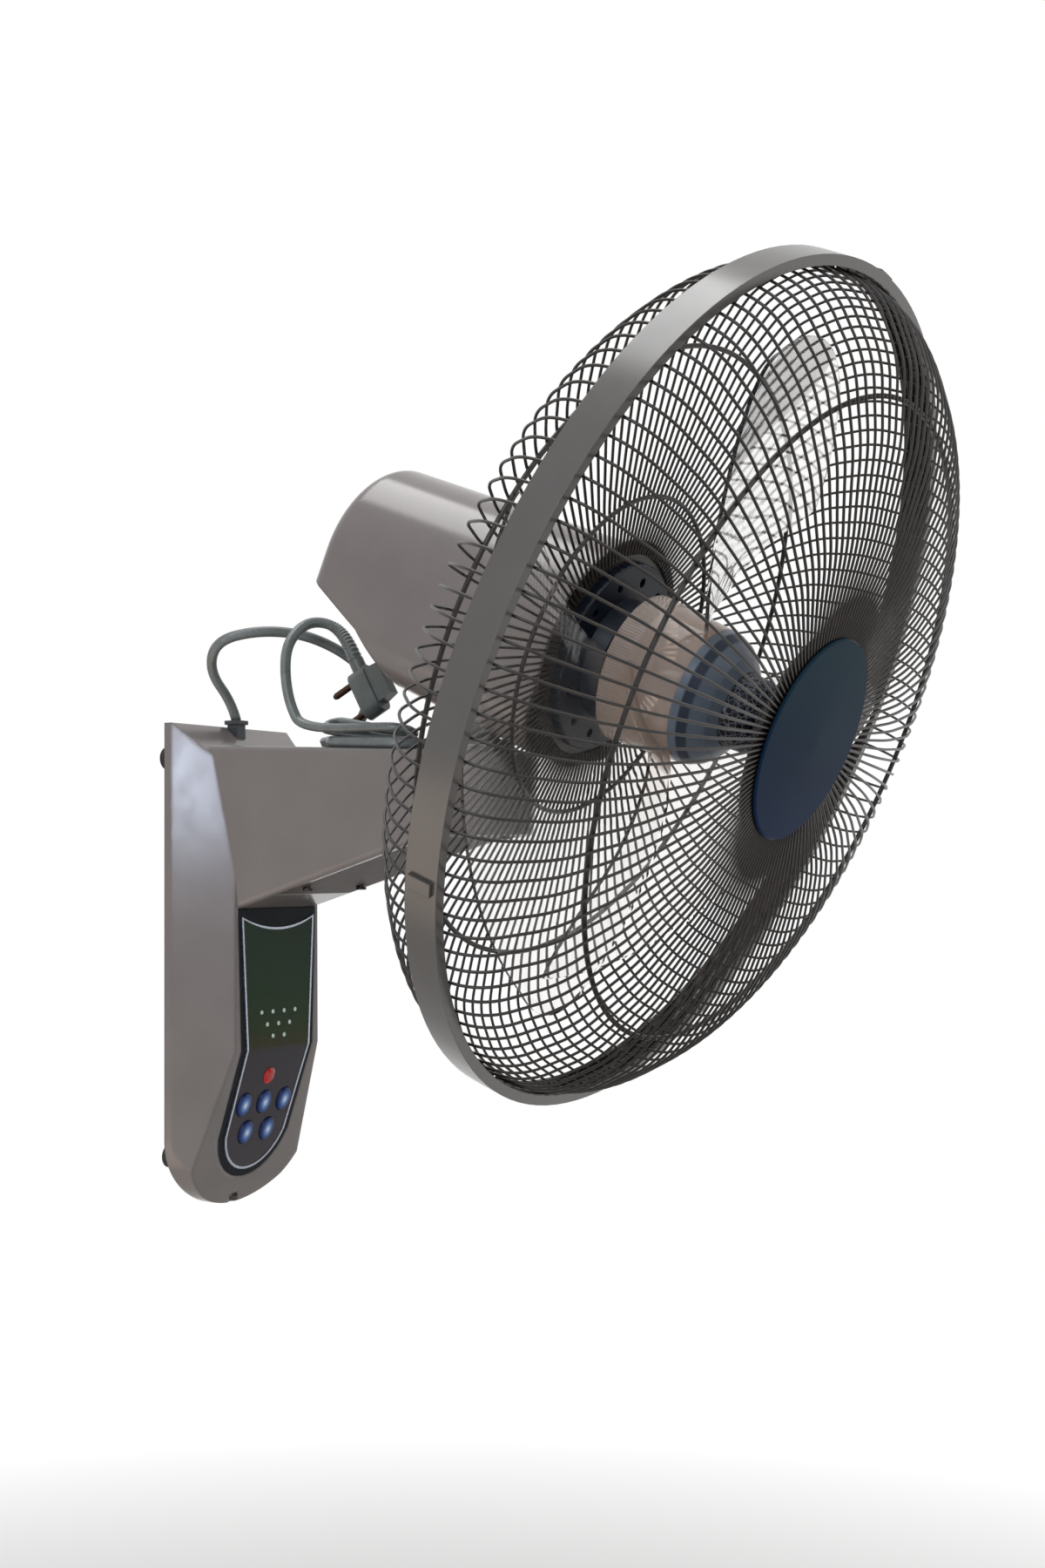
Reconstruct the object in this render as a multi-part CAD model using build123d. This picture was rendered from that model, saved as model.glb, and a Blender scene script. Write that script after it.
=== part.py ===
from build123d import *
import os
from math import atan2, cos, degrees, pi, radians, sin, tan

os.makedirs("parts", exist_ok=True)

# A wall mounted fan. Sizes are millimetres, +Z is up and -Y points out of the wall.
# Everything is drawn from the back rim of the base, Y=0, level with the wall screws,
# and moved out by the height of the wall pads as it is written.

# ---- driving sizes -------------------------------------------------------------------
pad_height = 3.5
run_gap = 0.05
seat_gap = 0.3
panel_gap = 0.15

base_half = 54.0
base_top = 130.0
base_low = -107.0
base_bulge = 41.0
base_depth = 39.0
base_front_half = 39.0
rim_depth = 5.0
wall = 2.5

lean_top = -56.0
lean_low = -136.0
lean_low_y = -11.625

arm_half = 45.0
arm_back = -12.0
arm_centre = -163.0
arm_top_z = 117.55
arm_fall = 0.0504
arm_draft = 4.4
arm_start = 120.0

pivot_y = -172.0
pivot_z = 135.0
pad_top = 112.0

tilt_down = 23.35
head_origin = (0, -304.0, 137.7)
tilt_s = -120.1
tilt_v = 54.8

band_r = 228.0
band_width = 17.6
wire_r = 1.0
wire_count = 126
guard_wire_start = band_r - 6.8
plate_s = -51.9
shaft_r = 4.0

cord_d = 6.0
tongue_half, tongue_low = 9.0, -131.0


# ---- helpers -------------------------------------------------------------------------
def save(node, *solids):
    # each node is one solid, or a group of separate like solids
    shapes = [Pos(0, -pad_height, 0) * s for item in solids for s in item.solids()]
    shape = shapes[0] if len(shapes) == 1 else Compound(children=shapes)
    shape.label = node
    export_step(shape, f"parts/{node}.step")


def sideFace(points):
    # a side view outline in (y, z)
    return make_face(Polyline(*points, close=True))


def inset(face, amount):
    return offset(face, amount=-amount, kind=Kind.INTERSECTION) if amount else face


def tube(outer, inner, low, high):
    # a round bush along +Z
    ring = Circle(outer) - Circle(inner)
    return Pos(0, 0, low) * extrude(ring, amount=high - low)


def rod(radius, low, high):
    return Pos(0, 0, low) * extrude(Circle(radius), amount=high - low)


def turned(*points):
    # a turned piece from its (radius, axial) outline
    return revolve(Plane.XZ * make_face(Polyline(*points, close=True)), Axis.Z)


def box(x0, x1, y0, y1, z0, z1):
    size = (x1 - x0, y1 - y0, z1 - z0)
    centre = ((x0 + x1) / 2, (y0 + y1) / 2, (z0 + z1) / 2)
    return Pos(*centre) * Box(*size)


def roundSweep(path, radius):
    start = Plane(origin=path @ 0, z_dir=path % 0)
    return sweep(start * Circle(radius), path=path)


def around(shape, count, first=0.0):
    return [Rot(0, 0, first + 360 * k / count) * shape for k in range(count)]


# the head stands on its own plane: local Z is the blade axis, local Y is up
head = Plane(
    origin=head_origin,
    x_dir=(1, 0, 0),
    z_dir=(0, -cos(radians(tilt_down)), -sin(radians(tilt_down))),
).location
swing_axis = Pos(0, pivot_y, 0)


def saveHead(node, *shapes):
    save(node, *[head * shape for shape in shapes])


# ---- base and arm --------------------------------------------------------------------
def baseForm(cut, back=0.0):
    # side view with the panel leaning back, plan view with sides that draw in,
    # and a front view rounded below; the form is what all three share
    side = [
        (back, base_top), (-rim_depth, base_top), (-20, 117), (-base_depth, 100.5),
        (-base_depth, lean_top), (lean_low_y, lean_low), (-rim_depth, base_low - base_bulge),
        (back, base_low - base_bulge),
    ]
    plan = [
        (-base_half, back), (-base_half, -rim_depth), (-base_front_half, -base_depth),
        (base_front_half, -base_depth), (base_half, -rim_depth), (base_half, back),
    ]
    sides = extrude(Plane.YZ * inset(sideFace(side), cut), 2 * base_half, both=True)
    plans = extrude(inset(make_face(Polyline(*plan, close=True)), cut), 200, both=True)
    height = base_top - base_low - cut
    front = Pos(0, base_low + height / 2) * Rectangle(2 * (base_half - cut), height)
    front += Pos(0, base_low) * Ellipse(base_half - cut, base_bulge - cut)
    fronts = extrude(Plane.XZ * front, 2 * base_depth, both=True)
    return sides & plans & fronts


def armTop(y):
    return arm_top_z + arm_fall * (y - arm_back)


def armForm(cut):
    # plan view with a round end, drawn in downwards, under a side view that
    # falls gently on top and rises to the front below
    length = arm_back - arm_centre
    plan = Pos(0, -arm_back + length / 2) * Rectangle(2 * (arm_half - cut), length)
    plan += Pos(0, -arm_centre) * Circle(arm_half - cut)
    down = Plane(origin=(0, 0, arm_start), x_dir=(1, 0, 0), z_dir=(0, 0, -1))
    block = extrude(down * plan, amount=110, taper=arm_draft)
    side = [
        (arm_back, armTop(arm_back)), (-215, armTop(-215)), (-215, 64), (-168, 63),
        (-148, 57), (-85, 38), (arm_back, 16),
    ]
    return block & extrude(Plane.YZ * inset(sideFace(side), cut), 2 * arm_half, both=True)


def armRounded():
    form = armForm(0)
    top = form.faces().sort_by(Axis.Z)[-1]
    lower = form.faces().filter_by(lambda f: f.normal_at().Z < -0.8)
    rims = top.edges() + [e for face in lower for e in face.edges()]
    rims = [e for e in rims if e.center().Y < arm_back - 5]
    across = [
        e for e in rims if abs(e.center().X) < 1 and e.center().Z < 100 and e.center().Y > -200
    ]
    return fillet([e for e in rims if e not in across], 3.0)


def frontFace(points_face, low, high):
    # the part of the base skin between two depths that an outline in (x, z) covers
    front = Pos(0, -8, 0) * extrude(Plane.XZ * points_face, 2 * base_depth)
    return (baseForm(low) - baseForm(high)) & front


def panelOutline(grow=0.0):
    top, middle, low, bottom = 24.0, lean_top, -107.0, -132.0
    edge = Polyline(
        (-36.5 - grow, top + grow), (-33.5 - grow, middle), (-32.5 - grow, low),
    )
    return make_face([
        edge,
        ThreePointArc((-32.5 - grow, low), (0, bottom - grow), (32.5 + grow, low)),
        Polyline((32.5 + grow, low), (33.5 + grow, middle), (36.5 + grow, top + grow)),
        Line((36.5 + grow, top + grow), (-36.5 - grow, top + grow)),
    ])


def labelOutline(grow=0.0):
    low, bottom = -107.0, -126.5
    return make_face([
        ThreePointArc((-32.6 - grow, 18.0 + grow), (0, 11.4 + grow), (32.6 + grow, 18.0 + grow)),
        Polyline((32.6 + grow, 18 + grow), (28.0 + grow, lean_top), (26.2 + grow, low)),
        ThreePointArc((26.2 + grow, low), (0, bottom - grow), (-26.2 - grow, low)),
        Polyline((-26.2 - grow, low), (-28.0 - grow, lean_top), (-32.6 - grow, 18 + grow)),
    ])


lean_slope = (base_depth + lean_low_y) / (lean_top - lean_low)
button_z = -86.4
button_y = -base_depth + lean_slope * (lean_top - button_z)
lean_angle = degrees(atan2(lean_slope, 1))
lean = Plane(
    origin=(0, button_y, button_z),
    x_dir=(1, 0, 0),
    z_dir=(0, -cos(radians(lean_angle)), -sin(radians(lean_angle))),
).location
button_spots = [(-18.5, -1.8), (0, -1.8), (18.5, -1.8), (-9.8, -19.6), (9.8, -19.6)]
button_w, button_h = 11.8, 14.2
button_proud = 2.2
button_travel = 1.0
label_t = 0.6
lens_x, lens_y = -1.6, 14.4
lens_r = 5.0
led_rows = [(-35.6, 4), (-42.7, 3), (-49.6, 2)]
led_pitch = 10.5
led_r = 1.3
led_spots = [
    ((k - (n - 1) / 2) * led_pitch, z) for z, n in led_rows for k in range(n)
]


def buttonPlan(grow):
    return Ellipse(button_w / 2 + grow, button_h / 2 + grow)


def buttonHole(gap):
    holes = [Pos(x, y) * buttonPlan(gap) for x, y in button_spots]
    lens = Pos(lens_x, lens_y) * Circle(lens_r + gap / 3)
    return [lean * Pos(0, 0, -8) * extrude(h, amount=16) for h in holes + [lens]]


def ledHoles():
    return [Pos(x, -base_depth - 3, z) * Rot(-90, 0, 0) * rod(led_r, 0, 9) for x, z in led_spots]


shell = baseForm(0) + armRounded()
shell -= baseForm(wall, back=10) + armForm(wall)

# a round pad for the neck on top of the arm, with the boss of its bush inside
pad_r, boss_r = 24.0, 14.0
bush_outer, post_r = 11.5, 8.95
inside_arm = armForm(wall)
shell += swing_axis * rod(pad_r, 106, pad_top) - inside_arm
shell += swing_axis * rod(boss_r, 92, 109)
shell -= swing_axis * rod(bush_outer, 80, 120)

# the opening under the arm, and the bosses that its cover is screwed to
cover_edge = 7.0
cover_back = -66.0


def coverPlan(shrink):
    length = cover_back - shrink - arm_centre
    half = arm_half - cover_edge - shrink - 4
    plan = Pos(0, arm_centre + length / 2) * Rectangle(2 * half, length)
    return extrude(plan + Pos(0, arm_centre) * Circle(half), amount=90)


side_reach = 2 * arm_half
floor_skin = (armForm(0) - armForm(wall)) - box(-side_reach, side_reach, -260, 0, 85, 130)
shell -= floor_skin & coverPlan(0)
arm_cover = floor_skin & coverPlan(panel_gap)
boss_spots = [(-26, -80), (26, -80), (0, -192)]
boss_outer, screw_r = 4.2, 1.5
for x, y in boss_spots:
    shell += Pos(x, y, 0) * rod(boss_outer, 20, 112) & inside_arm
    shell -= Pos(x, y, 0) * rod(screw_r, 30, 82)
    arm_cover -= Pos(x, y, 0) * rod(screw_r + 0.2, 20, 90)

# bosses that hang the swing motor from the roof of the arm
motor_y = pivot_y + 60
motor_ear_z = 75.0
motor_spots = [(-31, motor_y), (31, motor_y)]
for x, y in motor_spots:
    shell += Pos(x, y, 0) * rod(boss_outer, motor_ear_z, 112) & inside_arm
    shell -= Pos(x, y, 0) * rod(screw_r, motor_ear_z, 88)

# the front of the base takes the control panel; its flange lies behind the opening
shell -= frontFace(panelOutline(panel_gap), 0, wall)
panel = frontFace(panelOutline(), 0, wall)
flange = frontFace(panelOutline(3), wall, wall + 1.5)
flange -= extrude(Plane.XZ * panelOutline(-5), 2 * base_depth)
flange -= box(-tongue_half - 2, tongue_half + 2, -base_depth, 0, tongue_low - 6, tongue_low + 6)
panel += flange
label = frontFace(labelOutline(), -label_t, 0)
trim = frontFace(labelOutline(1.4), -1.0, 0) - extrude(Plane.XZ * labelOutline(), 2 * base_depth)
for hole in buttonHole(seat_gap):
    panel -= hole
    label -= hole
for hole in ledHoles():
    panel -= hole
    label -= hole

# keyway for the lock screw under the base, the cord hole and a carrying slot on top
lock_y, lock_seat = -6.0, -144.0
shell -= Pos(0, lock_y, 0) * rod(1.7, -150, -124)
shell -= Pos(0, lock_y, 0) * rod(3.3, -150, lock_seat)
gland_y = -9.0
gland_size = (7.6, 7.4)
shell -= Pos(0, gland_y, 126) * Box(gland_size[0], gland_size[1], 16)

# ribs that hang on the hooks of the wall plate, lugs for the power board, pad seats
hook_spots = [(-34, 60), (34, 60), (-34, -60), (34, -60)]
hook_depth = 9.0
lug_spots = [(-22, -16), (22, -16), (-22, 80), (22, 80)]
power_y = -10.0
foot_r, pad_seat = 6.5, 8.0
top_pad_x, low_pad_x = base_half - 6.6, base_half - 8.6
pad_spots = [(-top_pad_x, 110), (top_pad_x, 110), (-low_pad_x, -116), (low_pad_x, -116)]


def sideLug(x, reach, y0, y1, z0, z1):
    side = 1 if x > 0 else -1
    x0, x1 = sorted((x - side * reach, side * base_half))
    return box(x0, x1, y0, y1, z0, z1) & baseForm(wall / 2)


for x, z in hook_spots:
    shell += sideLug(x, 4, -hook_depth, -rim_depth, z, z + 3)
for x, z in lug_spots:
    shell += sideLug(x, 3, power_y, power_y + 3.5, z - 3, z + 3)
for x, z in pad_spots:
    shell += (Pos(x, 0, z) * Rot(90, 0, 0) * rod(foot_r, 0, pad_seat)) & baseForm(0)
    shell += sideLug(x, 0, -pad_seat, 0, z - 2, z + 2)

# threaded posts on the back of the panel carry the button board
board_depth = 9.0
board_t = 1.6
post_spots = [(-28, 8), (28, 8), (-24, -20), (24, -20)]
for x, y in post_spots:
    panel += lean * Pos(x, y, 0) * rod(2.4, -board_depth, 0.2 - wall)

save("base_shell", shell)
save("arm_cover", arm_cover)
save("panel_frame", panel)
save("panel_label", label)
save("panel_trim", trim)

# pan head screws: three under the arm, two in the ears of the swing motor, one lock screw
ear_t = 1.6
screw_head_r, screw_head_t = 2.9, 1.6


def screwUp(x, y, seat, length):
    screw = rod(screw_r, seat - 0.1, seat + length) + rod(screw_head_r, seat - screw_head_t, seat)
    return Pos(x, y, 0) * screw


floors = {}
for x, y in boss_spots:
    hit = arm_cover & (Pos(x, y, 0) * rod(screw_head_r, 20, 90))
    floors[(x, y)] = hit.bounding_box().min.Z
arm_screws = [screwUp(x, y, floors[(x, y)], 14) for x, y in boss_spots]
arm_screws += [screwUp(x, y, motor_ear_z - ear_t, 10) for x, y in motor_spots]

# ---- wall plate, pads, lock screw ----------------------------------------------------
plate_t = 2.0
plate_front = pad_height - plate_t
screw_x, screw_z, screw_hole_r = 30.0, 70.0, 2.75
plate_half, plate_high = 39.0, 104.0
plate_plan = RectangleRounded(2 * plate_half, 2 * plate_high, 8)
wall_plate = Pos(0, pad_height, 0) * extrude(Plane.XZ * plate_plan, amount=plate_t)
wall_plate += box(-tongue_half, tongue_half, plate_front, pad_height, tongue_low, -plate_high + 5)
for x in (-screw_x, screw_x):
    for z in (-screw_z, screw_z):
        wall_plate -= Pos(x, 10, z) * Rot(90, 0, 0) * rod(screw_hole_r, 0, 20)
hook_t, hook_half = 3.0, 3.0
for x, z in hook_spots:
    tip = -hook_depth - 2.2
    wall_plate += box(x - hook_half, x + hook_half, tip, plate_front, z - hook_t, z)
    wall_plate += box(x - hook_half, x + hook_half, tip, -hook_depth - 0.2, z - hook_t, z + 5)
wall_plate += box(-tongue_half, tongue_half, -9.2, plate_front, tongue_low, tongue_low + 3)
wall_plate -= Pos(0, lock_y, 0) * rod(screw_r, -140, -120)
save("wall_plate", wall_plate)

lock_screw = rod(screw_r, lock_seat - 0.1, lock_seat + 19)
lock_screw += rod(screw_head_r, lock_seat - 2.2, lock_seat)
save("case_screws", *arm_screws, Pos(0, lock_y, 0) * lock_screw)

pads = [Pos(x, pad_height, z) * Rot(90, 0, 0) * rod(foot_r, 0, pad_height) for x, z in pad_spots]
save("wall_pads", *pads)

# ---- control panel pieces ------------------------------------------------------------
stem_depth = 4.0
for number, (x, y) in enumerate(button_spots, start=1):
    cap = extrude(buttonPlan(0), amount=button_proud + wall)
    cap = fillet(cap.faces().sort_by(Axis.Z)[-1].edges(), 1.6)
    collar = extrude(buttonPlan(1.0), amount=1.0)
    button = Pos(0, 0, -wall) * cap
    button += Pos(0, 0, -wall - seat_gap - 1.0) * collar
    button += Pos(0, 0, -wall - 1.0) * extrude(buttonPlan(0), amount=1.0)
    save(f"button_{number}", lean * Pos(x, y, 0) * button)

lens = turned(
    (0, -wall), (lens_r, -wall), (lens_r, label_t + 0.4), (lens_r * 0.6, label_t + 1.5),
    (0, label_t + 1.8),
)
save("ir_lens", lean * Pos(lens_x, lens_y, 0) * lens)
led_y = -base_depth - label_t - 0.2
leds = [Pos(x, led_y, z) * Rot(-90, 0, 0) * rod(led_r - 0.05, 0, 6) for x, z in led_spots]
save("indicator_leds", *leds)

# the board lies parallel to the leaning face, with a short upright part for the lights
board = Pos(0, -6, -board_depth - board_t / 2) * Box(60, 40, board_t)
board_y = led_y + 6
board = lean * board
board += box(-24, 24, board_y, board_y + board_t, -62, -30)
save("control_board", board)

switch_top = wall + seat_gap + 1.0 + button_travel + 0.15
switches = []
for x, y in button_spots:
    height = board_depth - switch_top
    body = Pos(x, y, -board_depth + height * 0.3) * Box(6, 6, height * 0.6)
    plunger = Pos(x, y, -board_depth) * rod(1.7, height * 0.5, height)
    switches.append(lean * (body + plunger))
save("tact_switches", *switches)

# mains side: board with relays, and the screw terminals below the cord
power = box(-26, 26, power_y - 1.6, power_y, -20, 84)
power += box(-20, -4, power_y - 14, power_y - 1.6, 20, 38)
power += box(2, 18, power_y - 14, power_y - 1.6, 20, 38)
power += box(-18, 18, power_y - 10, power_y - 1.6, -10, 8)
save("power_board", power)
terminal = box(-18, 18, power_y - 13.6, power_y - 1.6, 56, 68)
for k in range(3):
    terminal -= Pos(-11 + 11 * k, power_y, 62) * Rot(90, 0, 0) * rod(2.2, 4, 16)
save("terminal_block", terminal)

# ---- swing drive ---------------------------------------------------------------------
crank_r = 20.0
crank_axis = Pos(0, motor_y, 0)
swing_motor = crank_axis * (rod(22, 58, motor_ear_z) - rod(3.05, 69, 80))
ears = box(-35.5, 35.5, motor_y - 5, motor_y + 5, motor_ear_z - ear_t, motor_ear_z)
swing_motor += ears - crank_axis * rod(3.05, 69, 80)
for x, y in motor_spots:
    swing_motor -= Pos(x, y, 0) * rod(screw_r + 0.2, 60, 80)
save("swing_motor", swing_motor)

lever_z = 79.0
lever_t = 3.0
link_z = lever_z + lever_t + seat_gap
pin_r = 2.45


def bar(length, half, low, thick, angle=0):
    plan = Rectangle(length, 2 * half) + Pos(length / 2, 0) * Circle(half)
    plan = Pos(length / 2, 0) * plan
    return Rot(0, 0, angle) * Pos(0, 0, low) * extrude(plan, amount=thick)


crank = rod(7, lever_z, lever_z + lever_t) + bar(crank_r, 5, lever_z, lever_t)
crank += rod(3.0, 69.5, lever_z + 0.5)
crank += Pos(crank_r, 0, 0) * rod(pin_r, lever_z, link_z + lever_t + 1)
save("crank_arm", crank_axis * crank)

lever_hub_r = 13.0
lever = rod(lever_hub_r, lever_z, lever_z + lever_t) + bar(crank_r, 5, lever_z, lever_t)
lever += Pos(crank_r, 0, 0) * rod(pin_r, lever_z, link_z + lever_t + 1)
lever -= rod(post_r, lever_z - 1, lever_z + lever_t + 1)
save("swing_lever", swing_axis * lever)

link_half = 4.5
link_length = motor_y - pivot_y
link_plan = Rectangle(2 * link_half, link_length)
for end in (-link_length / 2, link_length / 2):
    link_plan += Pos(0, end) * Circle(link_half)
for end in (-link_length / 2, link_length / 2):
    link_plan -= Pos(0, end) * Circle(pin_r + run_gap)
link = Pos(crank_r, (motor_y + pivot_y) / 2, link_z) * extrude(link_plan, amount=lever_t)
save("drag_link", link)

# ---- neck ----------------------------------------------------------------------------
washer_t = 1.0
bush = tube(bush_outer, post_r + run_gap, 90, pad_top)
bush += tube(21, post_r + run_gap, pad_top, pad_top + washer_t)
save("swing_bush", swing_axis * bush)

flange_z = pad_top + washer_t + run_gap
flange_top = flange_z + 3.0
cheek_in, cheek_out, cheek_r = 11.8, 15.8, 8.0
neck = rod(22, flange_z, flange_top) + rod(post_r, 77.5, flange_z + 1)
neck += box(-cheek_out, cheek_out, -cheek_r, cheek_r, flange_top - 1, flange_top + 4)
neck = swing_axis * neck
bolt_r = 3.0
for side in (-1, 1):
    x0, x1 = sorted((side * cheek_in, side * cheek_out))
    cheek = box(x0, x1, pivot_y - cheek_r, pivot_y + cheek_r, flange_top, pivot_z)
    cheek += Pos(x0, pivot_y, pivot_z) * Rot(0, 90, 0) * rod(cheek_r, 0, x1 - x0)
    neck += cheek
tilt_axis = Pos(0, pivot_y, pivot_z) * Rot(0, 90, 0)
neck -= tilt_axis * rod(bolt_r, -20, 20)
clip_z = 88.6
neck -= swing_axis * tube(post_r + 2, 7.6, clip_z, clip_z + 1.4)
save("neck_fork", neck)

clip = tube(12.5, 7.6, clip_z + 0.1, clip_z + 1.3) - box(-4, 4, 0, 14, clip_z - 1, clip_z + 3)
save("neck_clip", swing_axis * clip)

bolt = rod(bolt_r, -21, 21) + rod(5.0, 16, 19.5)
bolt += rod(5.0, -19.5, -16)
save("tilt_bolt", tilt_axis * bolt)

# ---- motor ---------------------------------------------------------------------------
shield_r, shield_in = 47.0, 44.0
seat_s = plate_s - 1.5
collar_r = 22.0
bearing_r = 8.0
split_s = -98.0
front_shield = turned(
    (shield_r, split_s), (shield_r, seat_s), (collar_r, seat_s), (collar_r, -40),
    (bearing_r, -40), (bearing_r, seat_s - 3.5), (shield_in, seat_s - 3.5), (shield_in, split_s),
)
rear_shield = turned(
    (shield_r, split_s - seat_gap), (shield_in, split_s - seat_gap), (shield_in, -137),
    (bearing_r, -137), (bearing_r, -147), (12, -147), (12, -140), (shield_r, -140),
)
ear_spots = [90, 210, 330]
ear_r = 50.0
long_screws = []
for angle in ear_spots:
    spot = Rot(0, 0, angle) * Pos(ear_r, 0, 0)
    front_shield += spot * rod(4.3, split_s, split_s + 12) - rod(shield_in, -120, -60)
    rear_shield += spot * rod(4.3, split_s - 8, split_s - seat_gap) - rod(shield_in, -120, -60)
    front_shield -= spot * rod(screw_r, split_s - 1, split_s + 10)
    rear_shield -= spot * rod(screw_r, split_s - 9, split_s)
    seat = split_s - 8
    long_screws.append(spot * (rod(screw_r, seat, seat + 17) + rod(screw_head_r, seat - 1.8, seat)))

stator = rod(shield_in - 0.05, -112, -84) - rod(21, -113, -83)
core_slots = 8
for slot in around(Pos(28, 0, 0) * extrude(Circle(3.2), amount=30), core_slots):
    stator -= Pos(0, 0, -113) * slot
winding = turned((23, -84), (38, -84), (36, -73), (25, -73))
winding_back = turned((23, -112), (38, -112), (36, -123), (25, -123))
bearing = tube(bearing_r, shaft_r + run_gap, -51, -41)
bearing_back = tube(bearing_r, shaft_r + run_gap, -146, -138)
saveHead("stator_core", stator)
saveHead("stator_windings", winding, winding_back)
saveHead("motor_bearings", bearing, bearing_back)

rotor = rod(20.6, -110, -86) - rod(shaft_r, -120, -80)
saveHead("rotor_core", rotor)

# ---- motor housing -------------------------------------------------------------------
housing_front = seat_s - seat_gap
housing_back = -211.4
housing_half = 59.6
housing_wall = 2.2
housing_draft = 2.1
corner_r = 30.0


def housingForm(cut, front):
    # round above the axis and square shouldered below it, drawn in to the back
    half = housing_half - cut
    low = Pos(0, -half / 2) * Rectangle(2 * half, half)
    low = fillet(low.vertices().group_by(Axis.Y)[0], corner_r - cut)
    section = Circle(half) + low
    length = front - (housing_back + cut)
    back = Plane(origin=(0, 0, front), x_dir=(1, 0, 0), z_dir=(0, 0, -1))
    form = extrude(back * Rot(0, 0, 180) * section, amount=length, taper=housing_draft)
    return fillet(form.faces().sort_by(Axis.Z)[0].edges(), 9.0 - cut)


housing = housingForm(0, housing_front) - housingForm(housing_wall, housing_front + 5)
cut_side = [(-12, -225), (-34, -172), (-55, -146), (-72, -134), (-72, -225)]
housing -= extrude(Plane.YZ * sideFace(cut_side), amount=80, both=True)
slot_half = 27.0
housing -= box(-slot_half, slot_half, -75, -40, -150, -97)

# five vents in the back
for k in range(5):
    housing -= Pos(0, 18 + 6 * k - 12, 0) * box(-16, 16, -1.2, 1.2, -215, -205)

post_spots_rear = [(-30, 10), (30, 10)]
post_seat = -165.0
for x, y in post_spots_rear:
    housing += Pos(x, y, 0) * rod(4.6, housing_back + 1, -140 - seat_gap)
    housing -= Pos(x, y, 0) * rod(3.2, -215, post_seat)
    housing -= Pos(x, y, 0) * rod(screw_r, post_seat - 1, -138)
    rear_shield -= Pos(x, y, 0) * rod(screw_r, -141, -136)
    post_screw = rod(screw_r, post_seat, -136) + rod(screw_head_r, post_seat - 2, post_seat)
    long_screws.append(Pos(x, y, 0) * post_screw)
saveHead("motor_housing", housing)
saveHead("front_shield", front_shield)
saveHead("motor_screws", *long_screws)

# steel saddle under the motor with two ears on the tilt bolt
saddle = box(-11.5, 11.5, -49, -38, tilt_s - 15, tilt_s + 15) - rod(shield_r, -150, -90)
pivot_local = Pos(0, -tilt_v, tilt_s) * Rot(0, 90, 0)
for side in (-1, 1):
    x0, x1 = sorted((side * 7.5, side * 11.5))
    ear = box(x0, x1, -tilt_v, -46.5, tilt_s - 7.5, tilt_s + 7.5)
    ear += Pos(x0, -tilt_v, tilt_s) * Rot(0, 90, 0) * rod(7.5, 0, x1 - x0)
    saddle += ear
saddle -= rod(shield_r, -150, -90)
saddle -= pivot_local * rod(bolt_r + run_gap, -20, 20)
saveHead("tilt_saddle", saddle)
saveHead("rear_shield", rear_shield)

capacitor = box(-14, 14, 30, 51.3, -188, -152)
capacitor = fillet(capacitor.edges().filter_by(Axis.Z), 2.0)
saveHead("capacitor", capacitor & housingForm(housing_wall + 0.1, housing_front + 5))

# ---- guards --------------------------------------------------------------------------
guard_plate = tube(63.4, collar_r + run_gap, seat_s, plate_s)
saveHead("guard_plate", guard_plate)

nut_r, nut_front = 51.9, -46.5
guard_nut = turned(
    (collar_r + run_gap, plate_s), (nut_r, plate_s), (nut_r, nut_front - 1), (nut_r - 1, nut_front),
    (33, nut_front), (31, -37), (collar_r + run_gap, -37),
)
knurl = Pos(nut_r + 0.6, 0, plate_s - 1) * extrude(Circle(1.1), amount=9)
for cut in around(knurl, 60):
    guard_nut -= cut
for cut in around(Pos(42, 0, -55) * extrude(Circle(2.6), amount=12), 12):
    guard_nut -= cut
saveHead("guard_nut", guard_nut)


def guardPath(wire_end, radii, *spots):
    # a wire's bends as (s, share), with each share taken from its inner end to the band
    span = guard_wire_start - wire_end
    corners = [(wire_end + share * span, 0, s) for s, share in spots]
    return FilletPolyline(*corners, radius=radii)


front_end, rear_end = 52.0, 56.0
front_path = guardPath(
    front_end, [38, 58, 110, 140],
    (8.4, 1), (30, 0.975), (54, 0.807), (66, 0.585), (72.6, 0.307), (71.8, 0),
)
rear_path = guardPath(
    rear_end, [30, 34, 80, 140],
    (7.0, 1), (-17, 0.984), (-37, 0.872), (-46.5, 0.678), (-50.7, 0.218), (-50.7, 0),
)
half_count = wire_count // 2
for end, path in (("front", front_path), ("rear", rear_path)):
    wires = around(roundSweep(path, wire_r), wire_count)
    saveHead(f"{end}_wires_upper", *wires[:half_count])
    saveHead(f"{end}_wires_lower", *wires[half_count:])


def ring(radius, s, thickness_r):
    return Pos(0, 0, s) * Torus(radius, thickness_r)


def ringInside(path, radius, thickness_r, inward):
    # a ring that lies against the inner side of the wires where they pass a radius
    steps = 800
    spot = min(range(steps), key=lambda k: abs((path @ (k / steps)).X - radius)) / steps
    point, along = path @ spot, path % spot
    reach = (wire_r + thickness_r + weld_gap) * (inward if along.X > 0 else -inward)
    return ring(point.X - reach * along.Z, point.Z + reach * along.X, thickness_r)


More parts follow.
